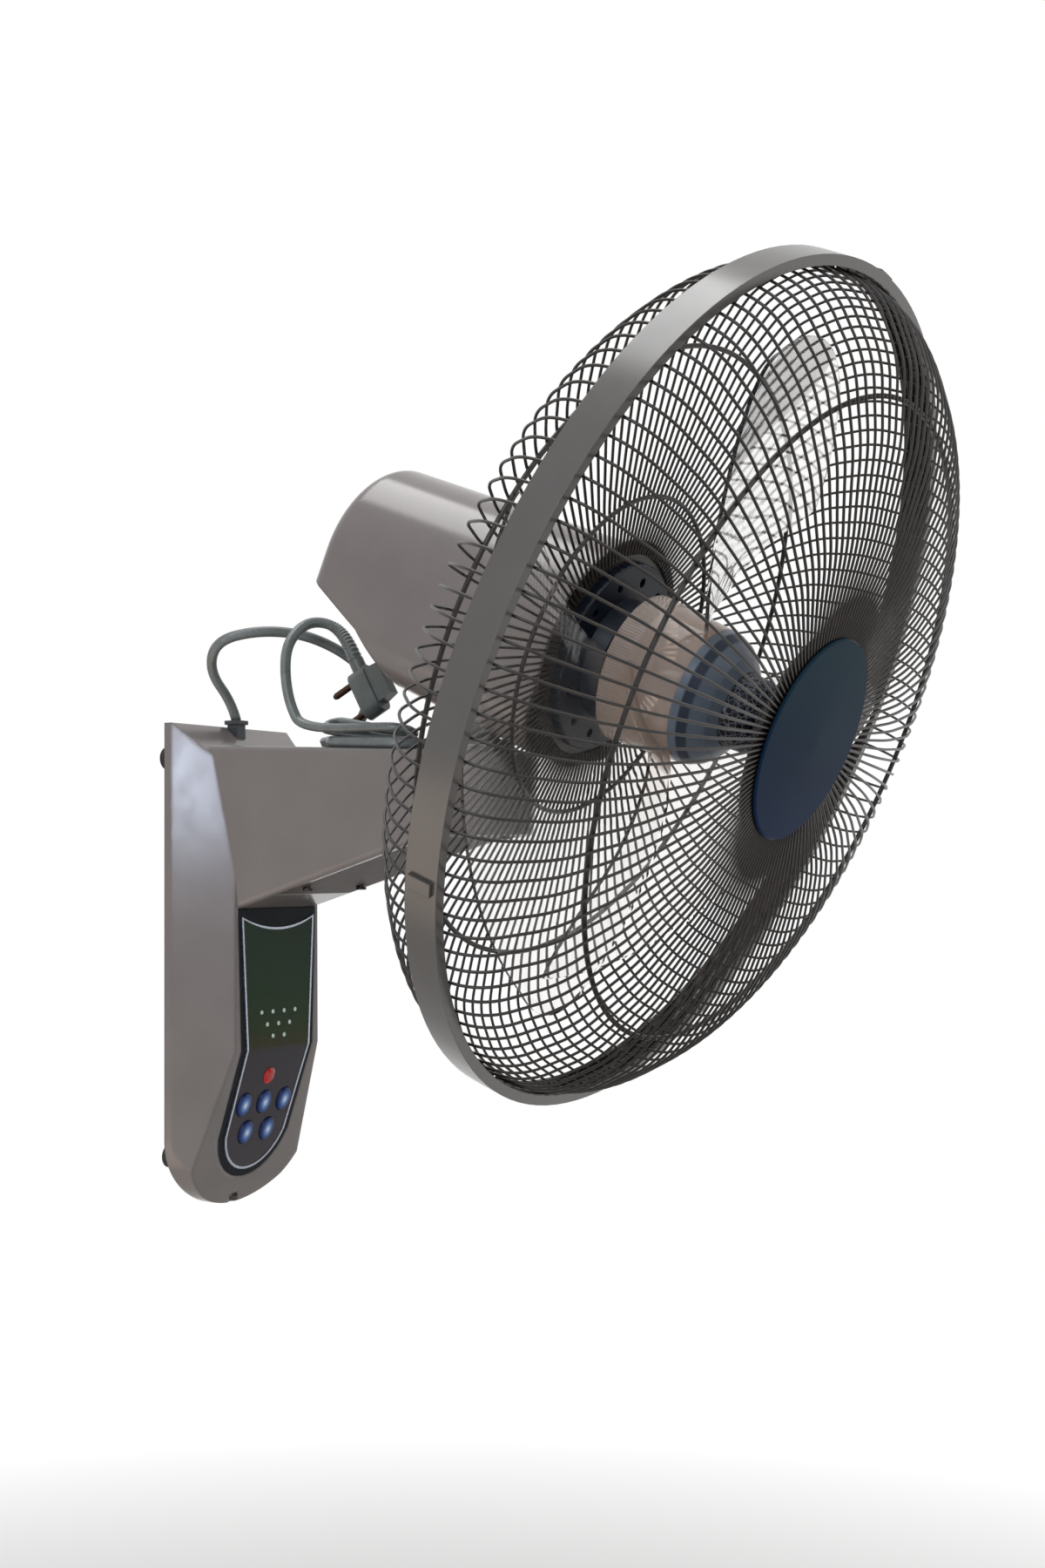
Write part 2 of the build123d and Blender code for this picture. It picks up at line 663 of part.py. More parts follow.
weld_gap = 0.08
end_r, wide_r, thin_r = 1.4, 1.3, 1.2
end_ring = guard_wire_start + wire_r + end_r + weld_gap
front_plate_r = 56.5
front_wide = front_end + 0.706 * (guard_wire_start - front_end)
rear_wide = rear_end + 0.679 * (guard_wire_start - rear_end)
rear_small = rear_end + 0.194 * (guard_wire_start - rear_end)
front_rings = [
    ring(end_ring, 10.7, end_r),
    ringInside(front_path, front_wide, wide_r, -1),
    ringInside(front_path, front_plate_r + 2.5, thin_r, -1),
]
rear_rings = [
    ring(end_ring, 4.7, end_r),
    ringInside(rear_path, rear_wide, wide_r, 1),
    ringInside(rear_path, rear_small, thin_r, 1),
]
saveHead("front_guard_rings", *front_rings)
saveHead("rear_guard_rings", *rear_rings)

band_t, lip_t, lip = 2.6, 1.6, 5.6
band = turned(
    (band_r, 0), (band_r, band_width), (band_r - lip, band_width),
    (band_r - lip, band_width - lip_t), (band_r - band_t, band_width - lip_t),
    (band_r - band_t, lip_t), (band_r - lip, lip_t), (band_r - lip, 0),
)
saveHead("guard_band", band)

clips = []
for angle, width in ((86, 16), (207, 7), (326, 7)):
    clip_form = tube(band_r + 1.8, band_r, 2.5, band_width - 2.5)
    clip_form = clip_form & box(0, 2 * band_r, -width / 2, width / 2, 0, band_width)
    clips.append(Rot(0, 0, angle) * clip_form)
saveHead("guard_clips", *clips)

badge_r = 53.8
saveHead("front_plate", rod(front_plate_r, 69.3, 70.75))
badge = turned((0, 72.95), (badge_r, 72.95), (badge_r, 73.6), (badge_r - 1, 74.3), (0, 75.2))
badge += rod(4, 70.75, 73)
saveHead("front_badge", badge)

# ---- rotor ---------------------------------------------------------------------------
shaft = rod(shaft_r, -150, 20)
pin_s = -24.0
shaft -= Pos(0, 0, pin_s) * Rot(0, 90, 0) * rod(1.5, -6, 6)
saveHead("motor_shaft", shaft)
saveHead("drive_pin", Pos(0, 0, pin_s) * Rot(0, 90, 0) * rod(1.5, -11, 11))

blade_t = 2.0
blade_tip = 187.0
hub_back, hub_front = -31.2, 11.2
hub_back_r, hub_front_r, hub_t = 40.3, 36.6, 2.2


def bladeHeight(radius, angle):
    # axial place of the blade skin: nearly a screw, steeper towards the tip
    at150 = -2.5 + 0.05 * (radius - 40)
    rise = 0.36 + 0.0025 * (radius - 40)
    return at150 + rise * (150 - angle)


def polar(radius, angle):
    return (radius * cos(radians(angle)), radius * sin(radians(angle)))


def blade():
    radii = [30 + (blade_tip - 22) * k / 10 for k in range(11)]
    angles = [90 + 12.5 * k for k in range(10)]
    grid = [
        [Vector(*polar(r, -a), bladeHeight(r, a)) for a in angles] for r in radii
    ]
    skin = Face.make_surface_from_array_of_points(grid, tol=0.02, min_deg=3, max_deg=5)
    sheet = Solid.thicken(skin, blade_t)
    # both edges as (share of the way from the root to the tip, angle)
    root_r = 38.0
    rear = [(0, 189), (0.255, 187.5), (0.483, 192.5), (0.752, 200), (0.966, 202.6)]
    front = [
        (1, 124), (0.953, 114), (0.752, 108), (0.537, 104), (0.336, 101), (0.148, 102), (0, 112),
    ]
    rear_edge = Spline(*[polar(root_r + f * (blade_tip - root_r), -a) for f, a in rear])
    front_edge = Spline(*[polar(root_r + f * (blade_tip - root_r), -a) for f, a in front])
    tip = ThreePointArc(rear_edge @ 1, polar(blade_tip, -160), front_edge @ 0)
    root = Line(front_edge @ 1, rear_edge @ 0)
    outline = make_face([rear_edge, tip, front_edge, root])
    return sheet & Pos(0, 0, -60) * extrude(outline, amount=120)


hub_bore = shaft_r + run_gap
hub = turned(
    (hub_back_r, hub_back), (hub_front_r, hub_front), (hub_bore, hub_front), (hub_bore, -28),
    (9, -28), (9, hub_front - hub_t), (hub_front_r - hub_t, hub_front - hub_t),
    (hub_back_r - hub_t, hub_back),
)
hub_inside = turned(
    (0, hub_back - 30), (hub_back_r + 1.4, hub_back - 30), (hub_front_r - 1.2, hub_front),
    (0, hub_front),
)
one_blade = blade() - hub_inside
fan = hub
for k in range(3):
    fan += Rot(0, 0, 120 * k) * one_blade
fan -= box(-12, 12, -1.65, 1.65, -29, pin_s + 1.65)
saveHead("fan_blade", fan)

spinner = turned(
    (hub_front_r, hub_front + 0.1), (35.9, 15), (33.4, 20.5), (27, 27), (21, 31), (8, 31),
    (8, 21), (shaft_r, 21), (shaft_r, hub_front + 0.1),
)
spinner -= turned((10, 8), (33, 8), (31, 18), (18, 28), (10, 28))
saveHead("spinner", spinner)
nose = turned(
    (0, 22), (7.9, 22), (7.9, 31.1), (20.3, 31.1), (19.6, 41), (17, 45), (12, 46.5), (0, 46.5),
)
saveHead("spinner_nose", nose)

# ---- cord ----------------------------------------------------------------------------
gland_x, gland_half = gland_size[0] / 2, gland_size[1] / 2
gland = box(-gland_x, gland_x, gland_y - gland_half, gland_y + gland_half, 120, 131.5)
gland = gland & box(-20, 20, -20, -0.2, 0, 200)
gland_top = 133.9
rim_x, rim_half = gland_x + 1.2, gland_half + 1.2
gland += box(-rim_x, rim_x, gland_y - rim_half, gland_y + rim_half, 131.5, gland_top)
gland -= Pos(0, gland_y, 0) * rod(cord_d / 2, 110, 131.4)
save("cord_gland", gland)

# hank: flat stadium turns that spiral in, climb a layer along a run and spiral out
hank_pitch = 6.6
hank_step = 6.6
hank_half = 16.0
hank_run = 32.0
hank_x, hank_y = -24.0, -122.0


def report(length, solid):
    section = pi * (cord_d / 2) ** 2
    volumes = (round(solid.volume), round(section * length))
    print("cord length", round(length, 1), "volume and section x length", volumes)


def hankPath():
    rights = [hank_half, hank_half - hank_pitch]
    lefts = [-(hank_half - hank_pitch / 2), -(hank_half - 1.5 * hank_pitch)]
    back, front = hank_run / 2, -hank_run / 2
    low, high = 0.0, hank_step

    def turn(x0, x1, y, z):
        bulge = abs(x1 - x0) / 2 * (1 if y > 0 else -1)
        return ThreePointArc((x0, y, z), ((x0 + x1) / 2, y + bulge, z), (x1, y, z))

    climb_mid = (lefts[1], 0, (low + high) / 2)
    rise = TangentArc((lefts[1], front, low), climb_mid, tangent=(0, 1, 0))
    level = TangentArc(climb_mid, (lefts[1], back, high), tangent=rise % 1)
    return Wire([
        Line((rights[0], back + 8, low), (rights[0], front, low)),
        turn(rights[0], lefts[0], front, low),
        Line((lefts[0], front, low), (lefts[0], back, low)),
        turn(lefts[0], rights[1], back, low),
        Line((rights[1], back, low), (rights[1], front, low)),
        turn(rights[1], lefts[1], front, low),
        rise,
        level,
        turn(lefts[1], rights[1], back, high),
        Line((rights[1], back, high), (rights[1], front, high)),
        turn(rights[1], lefts[0], front, high),
        Line((lefts[0], front, high), (lefts[0], back + 8, high)),
    ])


arm_slope = degrees(atan2(arm_fall, 1))
hank_place = Pos(hank_x, hank_y, armTop(hank_y) + cord_d / 2 + seat_gap) * Rot(arm_slope, 0, 0)
hank_wire = hank_place * hankPath()
hank = roundSweep(hank_wire, cord_d / 2)
save("cord_hank", hank)

samples = 700
points = [hank_wire.position_at(k / samples) for k in range(samples + 1)]
step = hank_wire.length / samples
apart = int(pi * cord_d / step)
least = min(
    (points[i] - points[j]).length
    for i in range(samples)
    for j in range(i + apart, samples + 1)
)
print("hank: length", round(hank_wire.length, 1), "least gap", round(least - cord_d, 2))
report(hank_wire.length, hank)


def cordTube(route):
    # every arc is as large as its two runs allow
    runs = [(Vector(*b) - Vector(*a)) for a, b in zip(route, route[1:])]
    radii = []
    for before, after in zip(runs, runs[1:]):
        half_turn = radians(before.get_angle(after)) / 2
        radii.append(0.45 * min(before.length, after.length) / tan(half_turn))
    print("cord radii", [round(r, 1) for r in radii])
    path = FilletPolyline(*route, radius=radii)
    solid = roundSweep(path, cord_d / 2)
    report(path.length, solid)
    return solid


hank_start = hank_wire @ 0
hank_start_dir = -(hank_wire % 0)
hank_end = hank_wire @ 1
hank_end_dir = hank_wire % 1


def along(point, direction, distance):
    p = point + direction * distance
    return (p.X, p.Y, p.Z)


lead_route = [
    (0, gland_y, gland_top), (0, gland_y, 147), (-11, -9, 162), (-17, -22, 177),
    (-8, -40, 184), (7, -56, 183), (20, -69, 175), (30.5, -79, 162), (36, -80, 147),
    (34.8, -74.5, 132.8), (24, -68.2, 122.3), (9.5, -67.2, 119.6), (-1.5, -73, 118.5),
    (-8, -85, 117.3), along(hank_start, hank_start_dir, 0),
]
save("cord_lead", cordTube(lead_route))

# flat two pin plug on end above the arm, its pins towards the wall
plug_w, plug_h = 13.0, 30.0
plug_lean = -28.0
plug_spot = Pos(8.0, -93.0, 144.0) * Rot(plug_lean, 0, 0)
plug_plan = SlotOverall(plug_h, plug_w)
plug = extrude(Plane.XZ * Rot(0, 0, 90) * plug_plan, amount=12)
grip = Plane.XZ * Pos(0, 1) * Rectangle(plug_w - 3, plug_h - 8)
plug += Pos(0, -11, 0) * extrude(grip, amount=10, taper=6)
neck_boot = Pos(0, -7, plug_h / 2 - 3) * rod(4.4, 0, 9)
plug += neck_boot
plug_pin_pitch, plug_pin_r, plug_pin_out = 19.0, 2.0, 16.0
pins = []
pin_form = turned(
    (0, -6), (plug_pin_r, -6), (plug_pin_r, plug_pin_out - 1.5), (1.3, plug_pin_out),
    (0, plug_pin_out),
)
for z in (-plug_pin_pitch / 2, plug_pin_pitch / 2):
    plug -= Pos(0, 0, z) * Rot(90, 0, 0) * rod(plug_pin_r, -0.5, 6)
    pins.append(Pos(0, 0, z) * Rot(-90, 0, 0) * pin_form)
save("plug_body", plug_spot * plug)
save("plug_pins", *[plug_spot * p for p in pins])

boot_top = plug_spot * Pos(0, -7, plug_h / 2 + 6)
boot_point = boot_top.position
boot_dir = (plug_spot * Pos(0, -7, plug_h / 2 + 16)).position - boot_point
boot_dir = boot_dir.normalized()
tail_route = [
    along(hank_end, hank_end_dir, 0), along(hank_end, hank_end_dir, 14), (-38, -68, 135),
    (-37.5, -60, 152), (-30, -56.5, 168), (-17, -57, 178), (-4, -61, 182), (3.5, -72.5, 183.5),
    along(boot_point, boot_dir, 12), along(boot_point, boot_dir, 0),
]
save("cord_tail", cordTube(tail_route))
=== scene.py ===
import bpy
import bmesh
from math import cos, exp, pi, radians, sin
from mathutils import Euler, Matrix, Vector


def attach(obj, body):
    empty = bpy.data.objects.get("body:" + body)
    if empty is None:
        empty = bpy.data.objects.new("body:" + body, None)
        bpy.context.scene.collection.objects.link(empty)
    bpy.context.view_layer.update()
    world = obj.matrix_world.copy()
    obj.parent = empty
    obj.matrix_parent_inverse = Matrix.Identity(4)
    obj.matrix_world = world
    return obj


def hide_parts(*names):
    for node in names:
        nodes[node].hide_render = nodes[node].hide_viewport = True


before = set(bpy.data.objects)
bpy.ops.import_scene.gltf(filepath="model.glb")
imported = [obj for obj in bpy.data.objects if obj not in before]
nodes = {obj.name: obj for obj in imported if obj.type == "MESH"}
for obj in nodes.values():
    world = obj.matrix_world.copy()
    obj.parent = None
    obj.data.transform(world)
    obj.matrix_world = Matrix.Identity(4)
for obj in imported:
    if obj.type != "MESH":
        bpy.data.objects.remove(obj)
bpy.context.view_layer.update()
scene = bpy.context.scene
print("frame loaded:", len(nodes), "parts")


def feed(tree, node, inputs):
    # sets or links inputs; a node that is given as a value lends its first output
    for key, value in inputs.items():
        source = value.outputs[0] if isinstance(value, bpy.types.Node) else value
        if isinstance(source, bpy.types.NodeSocket):
            tree.links.new(source, node.inputs[key])
        else:
            node.inputs[key].default_value = source


def addNode(tree, kind, inputs=None, stops=(), **settings):
    # adds a node with its settings and inputs, and on a colour ramp its stops
    node = tree.nodes.new(kind)
    for key, value in settings.items():
        setattr(node, key, value)
    feed(tree, node, inputs or {})
    if stops:
        elements = node.color_ramp.elements
        while len(elements) < len(stops):
            elements.new(0.5)
        for element, (place, shade) in zip(elements, stops):
            element.position, element.color = place, shade
    return node


def colour(text):
    # sRGB hex to linear RGBA
    parts = [int(text[i:i + 2], 16) / 255 for i in (1, 3, 5)]
    return [c / 12.92 if c <= 0.04045 else ((c + 0.055) / 1.055) ** 2.4 for c in parts] + [1.0]


def tint(shade, amounts):
    # a linear colour with its red, green and blue each multiplied by an amount
    return [c * amount for c, amount in zip(shade, amounts)] + [1.0]


def startMaterial(name, settings):
    # a bare Principled surface with its fixed values set on its own sockets
    material = bpy.data.materials.new(name)
    material.use_nodes = True
    tree = material.node_tree
    shader = tree.nodes["Principled BSDF"]
    feed(tree, shader, settings)
    place = addNode(tree, "ShaderNodeTexCoord").outputs["Object"]
    return material, tree, shader, place


def addRelief(tree, shader, height, depth, strength=1.0, edge=0.0):
    # raises the surface by a pattern, and rounds its sharp edges to the radius edge
    inputs = {"Height": height, "Distance": depth, "Strength": strength}
    if edge:
        inputs["Normal"] = addNode(tree, "ShaderNodeBevel", {"Radius": edge}, samples=4)
    feed(tree, shader, {"Normal": addNode(tree, "ShaderNodeBump", inputs)})


def surfacePiece(name, mesh, material, body):
    piece = bpy.data.objects.new(name, mesh)
    scene.collection.objects.link(piece)
    mesh.materials.clear()
    mesh.materials.append(material)
    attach(piece, body)
    return piece


# metres, degrees and millimetres of focal length
camera = {
    "place": (-0.9361, -0.7541, 0.0465),
    "azimuth": -59.73,
    "elevation": -2.37,
    "roll": -0.4,
    "lens": 46.1,
    "sensor": 36.0,
    "near": 0.02,
    "far": 60.0,
}


def makeCamera(c):
    az, el, roll = (radians(c[k]) for k in ("azimuth", "elevation", "roll"))
    back = Vector((sin(az) * cos(el), -cos(az) * cos(el), sin(el)))
    right = Vector((cos(az), sin(az), 0))
    up = back.cross(right)
    turnedRight = right * cos(roll) + up * sin(roll)
    turnedUp = up * cos(roll) - right * sin(roll)
    data = bpy.data.cameras.new("photoCamera")
    data.lens, data.sensor_width = c["lens"], c["sensor"]
    data.clip_start, data.clip_end = c["near"], c["far"]
    obj = bpy.data.objects.new("photoCamera", data)
    scene.collection.objects.link(obj)
    turn = Matrix((turnedRight, turnedUp, back)).transposed().to_4x4()
    obj.matrix_world = Matrix.Translation(c["place"]) @ turn
    scene.camera = obj


makeCamera(camera)

# flat twin cord: up out of the base, round behind the plug, folded on the arm, up and
# over to the plug. The whole length shows in the photograph, about 0.74 m. The waist is
# the share that the cord is thinner in its middle.
cordSizes = {
    "length": 0.74, "wide": 0.0062, "thick": 0.0052,
    "waist": 0.16, "waistWidth": 3, "sides": 20, "smoothing": 8,
}
leadRoute = [
    (0.0, -0.0125, 0.1339), (-0.003, -0.0115, 0.1445), (-0.019, -0.0075, 0.162),
    (-0.026, -0.018, 0.1785), (-0.013, -0.0375, 0.1845), (0.005, -0.0555, 0.1835),
    (0.0195, -0.0705, 0.1755), (0.0305, -0.082, 0.164), (0.036, -0.0835, 0.148),
    (0.0348, -0.078, 0.1328), (0.024, -0.0717, 0.1223), (0.0095, -0.0707, 0.1196),
    (-0.0015, -0.0765, 0.1185), (-0.008, -0.0885, 0.1173),
]
tailRoute = [
    (-0.0367, -0.0879, 0.1238), (-0.0365, -0.0795, 0.137), (-0.0335, -0.0735, 0.154),
    (-0.027, -0.0695, 0.172), (-0.014, -0.0695, 0.184), (-0.003, -0.0715, 0.1885),
    (0.0055, -0.0785, 0.187), (0.008, -0.0872, 0.178), (0.008, -0.0928, 0.1658),
]
# the hank's middle, how far it slopes with the top of the arm in degrees, its half width,
# the distance from turn to turn, its straight run, the step up to the next layer, and how
# many degrees that layer is turned
hank = {
    "x": -0.024, "y": -0.1255, "z": 0.1153, "slope": 2.885,
    "half": 0.016, "pitch": 0.0066, "run": 0.032, "step": 0.0054, "askew": 7.0,
    "corners": 6,
    # how far each end is pushed outwards, lifted and rolled over, as loose turns are
    "loose": [
        (0.0, 0.0, 0.0), (-0.003, 0.0006, 0.05), (0.001, 0.0008, -0.05),
        (0.005, 0.0035, 0.33), (-0.002, 0.0015, -0.15),
    ],
}


def hankRoute(h):
    # two turns in each of two layers; the corner points of each end lie outside its arc
    rights = [h["half"], h["half"] - h["pitch"]]
    lefts = [-(h["half"] - h["pitch"] / 2), -(h["half"] - 1.5 * h["pitch"])]
    # where each end starts and stops, its side and its layer
    ends = [
        (rights[0], lefts[0], -1, 0), (lefts[0], rights[1], 1, 0), (rights[1], lefts[1], -1, 0),
        (lefts[1], rights[1], 1, 1), (rights[1], lefts[0], -1, 1),
    ]
    turn = Euler((radians(h["slope"]), 0, 0)).to_matrix()
    corner = pi / h["corners"]
    points = []
    for (start, end, side, layer), (push, lift, roll) in zip(ends, h["loose"]):
        centre, radius = (start + end) / 2, abs(end - start) / 2 / cos(corner / 2)
        sense = 1 if start > end else -1
        fan = Euler((0, 0, radians(h["askew"] * layer))).to_matrix()
        for k in range(h["corners"]):
            angle = corner * (k + 0.5)
            x = centre + sense * radius * cos(angle)
            y = side * (h["run"] / 2 + push + radius * sin(angle))
            z = h["step"] * layer + lift + roll * x
            points.append(Vector((h["x"], h["y"], h["z"])) + turn @ fan @ Vector((x, y, z)))
    return [tuple(p) for p in points]


def splineLine(route):
    # the smooth line of an order 3 spline that has the route as its control points
    data = bpy.data.curves.new("cordLine", "CURVE")
    data.dimensions = "3D"
    spline = data.splines.new("NURBS")
    spline.points.add(len(route) - 1)
    for point, place in zip(spline.points, route):
        point.co = (*place, 1.0)
    spline.order_u = 3
    spline.use_endpoint_u = True
    spline.resolution_u = cordSizes["smoothing"]
    obj = bpy.data.objects.new("cordLine", data)
    mesh = bpy.data.meshes.new_from_object(obj)
    line = [v.co.copy() for v in mesh.vertices]
    bpy.data.meshes.remove(mesh)
    bpy.data.objects.remove(obj)
    return line


def tubeMesh(name, line, section, wide):
    # carries a closed section along a line without twisting it, and closes both ends
    form = bmesh.new()
    rings = []
    for k, point in enumerate(line):
        ahead = (line[min(k + 1, len(line) - 1)] - line[max(k - 1, 0)]).normalized()
        wide = (wide - ahead * wide.dot(ahead)).normalized()
        thin = ahead.cross(wide)
        rings.append([form.verts.new(point + wide * u + thin * v) for u, v in section(k)])
    for a, b in zip(rings, rings[1:]):
        for i in range(len(a)):
            j = (i + 1) % len(a)
            form.faces.new((a[i], a[j], b[j], b[i])).smooth = True
    form.faces.new(list(reversed(rings[0])))
    form.faces.new(rings[-1])
    bmesh.ops.recalc_face_normals(form, faces=form.faces)
    mesh = bpy.data.meshes.new(name)
    form.to_mesh(mesh)
    form.free()
    return mesh


def cordSection(_):
    # two rounded cores side by side with a shallow waist between them, all along the cord
    s = cordSizes
    points = []
    for k in range(s["sides"]):
        angle = 2 * pi * k / s["sides"]
        waist = 1 - s["waist"] * exp(-(s["waistWidth"] * cos(angle)) ** 2)
        points.append((s["wide"] / 2 * cos(angle), s["thick"] / 2 * sin(angle) * waist))
    return points


# sizes of each pattern in metres, how dark and light its clouds go, how far its gloss varies
plasticLook = {
    "mottle": 0.035, "dark": 0.93, "light": 1.06, "glossPatch": 0.012, "glossVaries": 0.1,
    "grain": 0.0007, "grainDepth": 0.00002, "grainStrength": 0.6,
}


def mouldedPlastic(name, shade, roughness, edge=0.0006, shine=0.4):
    # injection moulded ABS: fine spark eroded grain, faint flow mottling, soft edges
    look = plasticLook
    settings = {"IOR": 1.53, "Specular IOR Level": shine}
    material, tree, shader, place = startMaterial(name, settings)
    base = colour(shade)
    inputs = {"Vector": place, "Scale": 1 / look["mottle"], "Detail": 4.0}
    flow = addNode(tree, "ShaderNodeTexNoise", inputs)
    stops = [(0.3, tint(base, [look["dark"]] * 3)), (0.7, tint(base, [look["light"]] * 3))]
    paint = addNode(tree, "ShaderNodeValToRGB", {"Fac": flow}, stops)
    inputs = {"Vector": place, "Scale": 1 / look["glossPatch"], "Detail": 3.0}
    patch = addNode(tree, "ShaderNodeTexNoise", inputs)
    inputs = {0: patch, 1: look["glossVaries"], 2: roughness - look["glossVaries"] / 2}
    gloss = addNode(tree, "ShaderNodeMath", inputs, operation="MULTIPLY_ADD")
    inputs = {"Vector": place, "Scale": 1 / look["grain"], "Detail": 2.0}
    fine = addNode(tree, "ShaderNodeTexNoise", inputs)
    feed(tree, shader, {"Base Color": paint, "Roughness": gloss})
    addRelief(tree, shader, fine, look["grainDepth"], look["grainStrength"], edge)
    return material


enamelLook = {
    "patch": 0.02, "dark": 0.8, "warm": [1.5, 1.28, 1.1],
    "peel": 0.0015, "peelDepth": 0.00004, "peelStrength": 0.5,
}


def enamelledSteel(name, shade, roughness):
    # drawn steel wire dipped in enamel: orange peel, thinner and browner in places
    look = enamelLook
    settings = {"IOR": 1.5, "Specular IOR Level": 0.35, "Roughness": roughness}
    material, tree, shader, place = startMaterial(name, settings)
    base = colour(shade)
    inputs = {"Vector": place, "Scale": 1 / look["patch"], "Detail": 5.0, "Roughness": 0.6}
    patch = addNode(tree, "ShaderNodeTexNoise", inputs)
    dark, warm = tint(base, [look["dark"]] * 3), tint(base, look["warm"])
    stops = [(0.35, dark), (0.55, base), (0.8, warm)]
    paint = addNode(tree, "ShaderNodeValToRGB", {"Fac": patch}, stops)
    inputs = {"Vector": place, "Scale": 1 / look["peel"], "Detail": 3.0}
    peel = addNode(tree, "ShaderNodeTexNoise", inputs)
    feed(tree, shader, {"Base Color": paint})
    addRelief(tree, shader, peel, look["peelDepth"], look["peelStrength"])
    return material


platingLook = {
    "dark": 0.72, "glossVaries": 0.15,
    "pit": 0.0008, "pitDepth": 0.00003, "pitStrength": 0.4, "edge": 0.0003,
}


def platedSteel(name, shade, roughness, spangle=0.004):
    # zinc plated or cast metal: cloudy plating with fine pits
    look = platingLook
    material, tree, shader, place = startMaterial(name, {"Metallic": 1.0})
    base = colour(shade)
    cells = addNode(tree, "ShaderNodeTexVoronoi", {"Vector": place, "Scale": 1 / spangle})
    cloud = addNode(tree, "ShaderNodeSeparateColor", {"Color": cells.outputs["Color"]})
    stops = [(0.0, tint(base, [look["dark"]] * 3)), (1.0, base)]
    paint = addNode(tree, "ShaderNodeValToRGB", {"Fac": cloud}, stops)
    inputs = {0: cloud, 1: look["glossVaries"], 2: roughness}
    gloss = addNode(tree, "ShaderNodeMath", inputs, operation="MULTIPLY_ADD")
    inputs = {"Vector": place, "Scale": 1 / look["pit"], "Detail": 3.0}
    pits = addNode(tree, "ShaderNodeTexNoise", inputs)
    feed(tree, shader, {"Base Color": paint, "Roughness": gloss})
    addRelief(tree, shader, pits, look["pitDepth"], look["pitStrength"], look["edge"])
    return material


# the middle of the guard on the shaft's line, and how far the head looks down
head = {"place": (0.0, -0.3075, 0.1377), "lean": 23.35}
headTurn = (radians(90 + head["lean"]), 0.0, 0.0)


def headCoordinates(tree, place):
    # coordinates on the head's own axis: X across, Y up, Z along the shaft to the front
    inputs = {"Vector": place, "Location": head["place"], "Rotation": headTurn}
    moved = addNode(tree, "ShaderNodeMapping", inputs, vector_type="TEXTURE")
    return addNode(tree, "ShaderNodeSeparateXYZ", {0: moved}).outputs


def stripes(tree, value, pitch):
    # a smooth wave along a coordinate, once every pitch
    phase = addNode(tree, "ShaderNodeMath", {0: value, 1: 2 * pi / pitch}, operation="MULTIPLY")
    return addNode(tree, "ShaderNodeMath", {0: phase}, operation="SINE")


windingLook = {"turn": 0.0012, "climb": 0.002, "depth": 0.0002}


def woundCopper():
    # enamelled copper turns lying side by side, drawn 1.2 mm apart so that they show
    look = windingLook
    settings = {"Metallic": 1.0, "Roughness": 0.32}
    material, tree, shader, place = startMaterial("enamelledCopperWinding", settings)
    x, y, z = headCoordinates(tree, place)
    angle = addNode(tree, "ShaderNodeMath", {0: y, 1: x}, operation="ARCTAN2")
    inputs = {0: angle, 1: look["climb"], 2: z}
    along = addNode(tree, "ShaderNodeMath", inputs, operation="MULTIPLY_ADD")
    wave = stripes(tree, along, look["turn"])
    # each turn is dark at its sides and bright along its crest: painted shade between the turns and
    # painted highlight on them
    stops = [(0.0, colour("#6b3514")), (1.0, colour("#c9783c"))]
    feed(tree, shader, {"Base Color": addNode(tree, "ShaderNodeValToRGB", {"Fac": wave}, stops)})
    addRelief(tree, shader, wave, look["depth"])
    return material


coreLook = {"sheet": 0.001, "depth": 0.0001}


def stackedCore():
    # silicon steel laminations stacked along the shaft, 0.5 mm sheets drawn every 1 mm
    settings = {"Metallic": 1.0, "Roughness": 0.45}
    material, tree, shader, place = startMaterial("stackedSiliconSteel", settings)
    wave = stripes(tree, headCoordinates(tree, place)[2], coreLook["sheet"])
    stops = [(0.2, colour("#4b4c50")), (0.8, colour("#8b8c90"))]
    feed(tree, shader, {"Base Color": addNode(tree, "ShaderNodeValToRGB", {"Fac": wave}, stops)})
    addRelief(tree, shader, wave, coreLook["depth"])
    return material


boardLook = {"perMetre": 260.0, "gap": 0.06, "depth": 0.00005}


def circuitBoard():
    # glass epoxy board: green solder mask over copper areas about 2 mm by 1 mm
    look = boardLook
    settings = {"Roughness": 0.35, "IOR": 1.55}
    material, tree, shader, place = startMaterial("solderMaskedBoard", settings)
    inputs = {
        "Vector": place, "Scale": look["perMetre"], "Mortar Size": look["gap"],
        "Color1": colour("#14532f"), "Color2": colour("#1b6338"), "Mortar": colour("#3b8a55"),
    }
    tracks = addNode(tree, "ShaderNodeTexBrick", inputs)
    feed(tree, shader, {"Base Color": tracks})
    addRelief(tree, shader, tracks.outputs["Fac"], look["depth"])
    return material


# radii from the shaft and a place along it
resinLook = {
    "hubEnd": 0.0414, "bladeStart": 0.0468, "reach": 0.09,
    "ribs": 150.0, "ribsWithin": 0.042, "ribsBehind": -0.019,
    "ribDepth": 0.0003, "ribStrength": 0.5, "ribPaintedShade": 0.03,
    # the share of light that passes: at the shaft, at the hub's rim and in the blades
    "clear": [0.3, 0.5, 0.99],
}


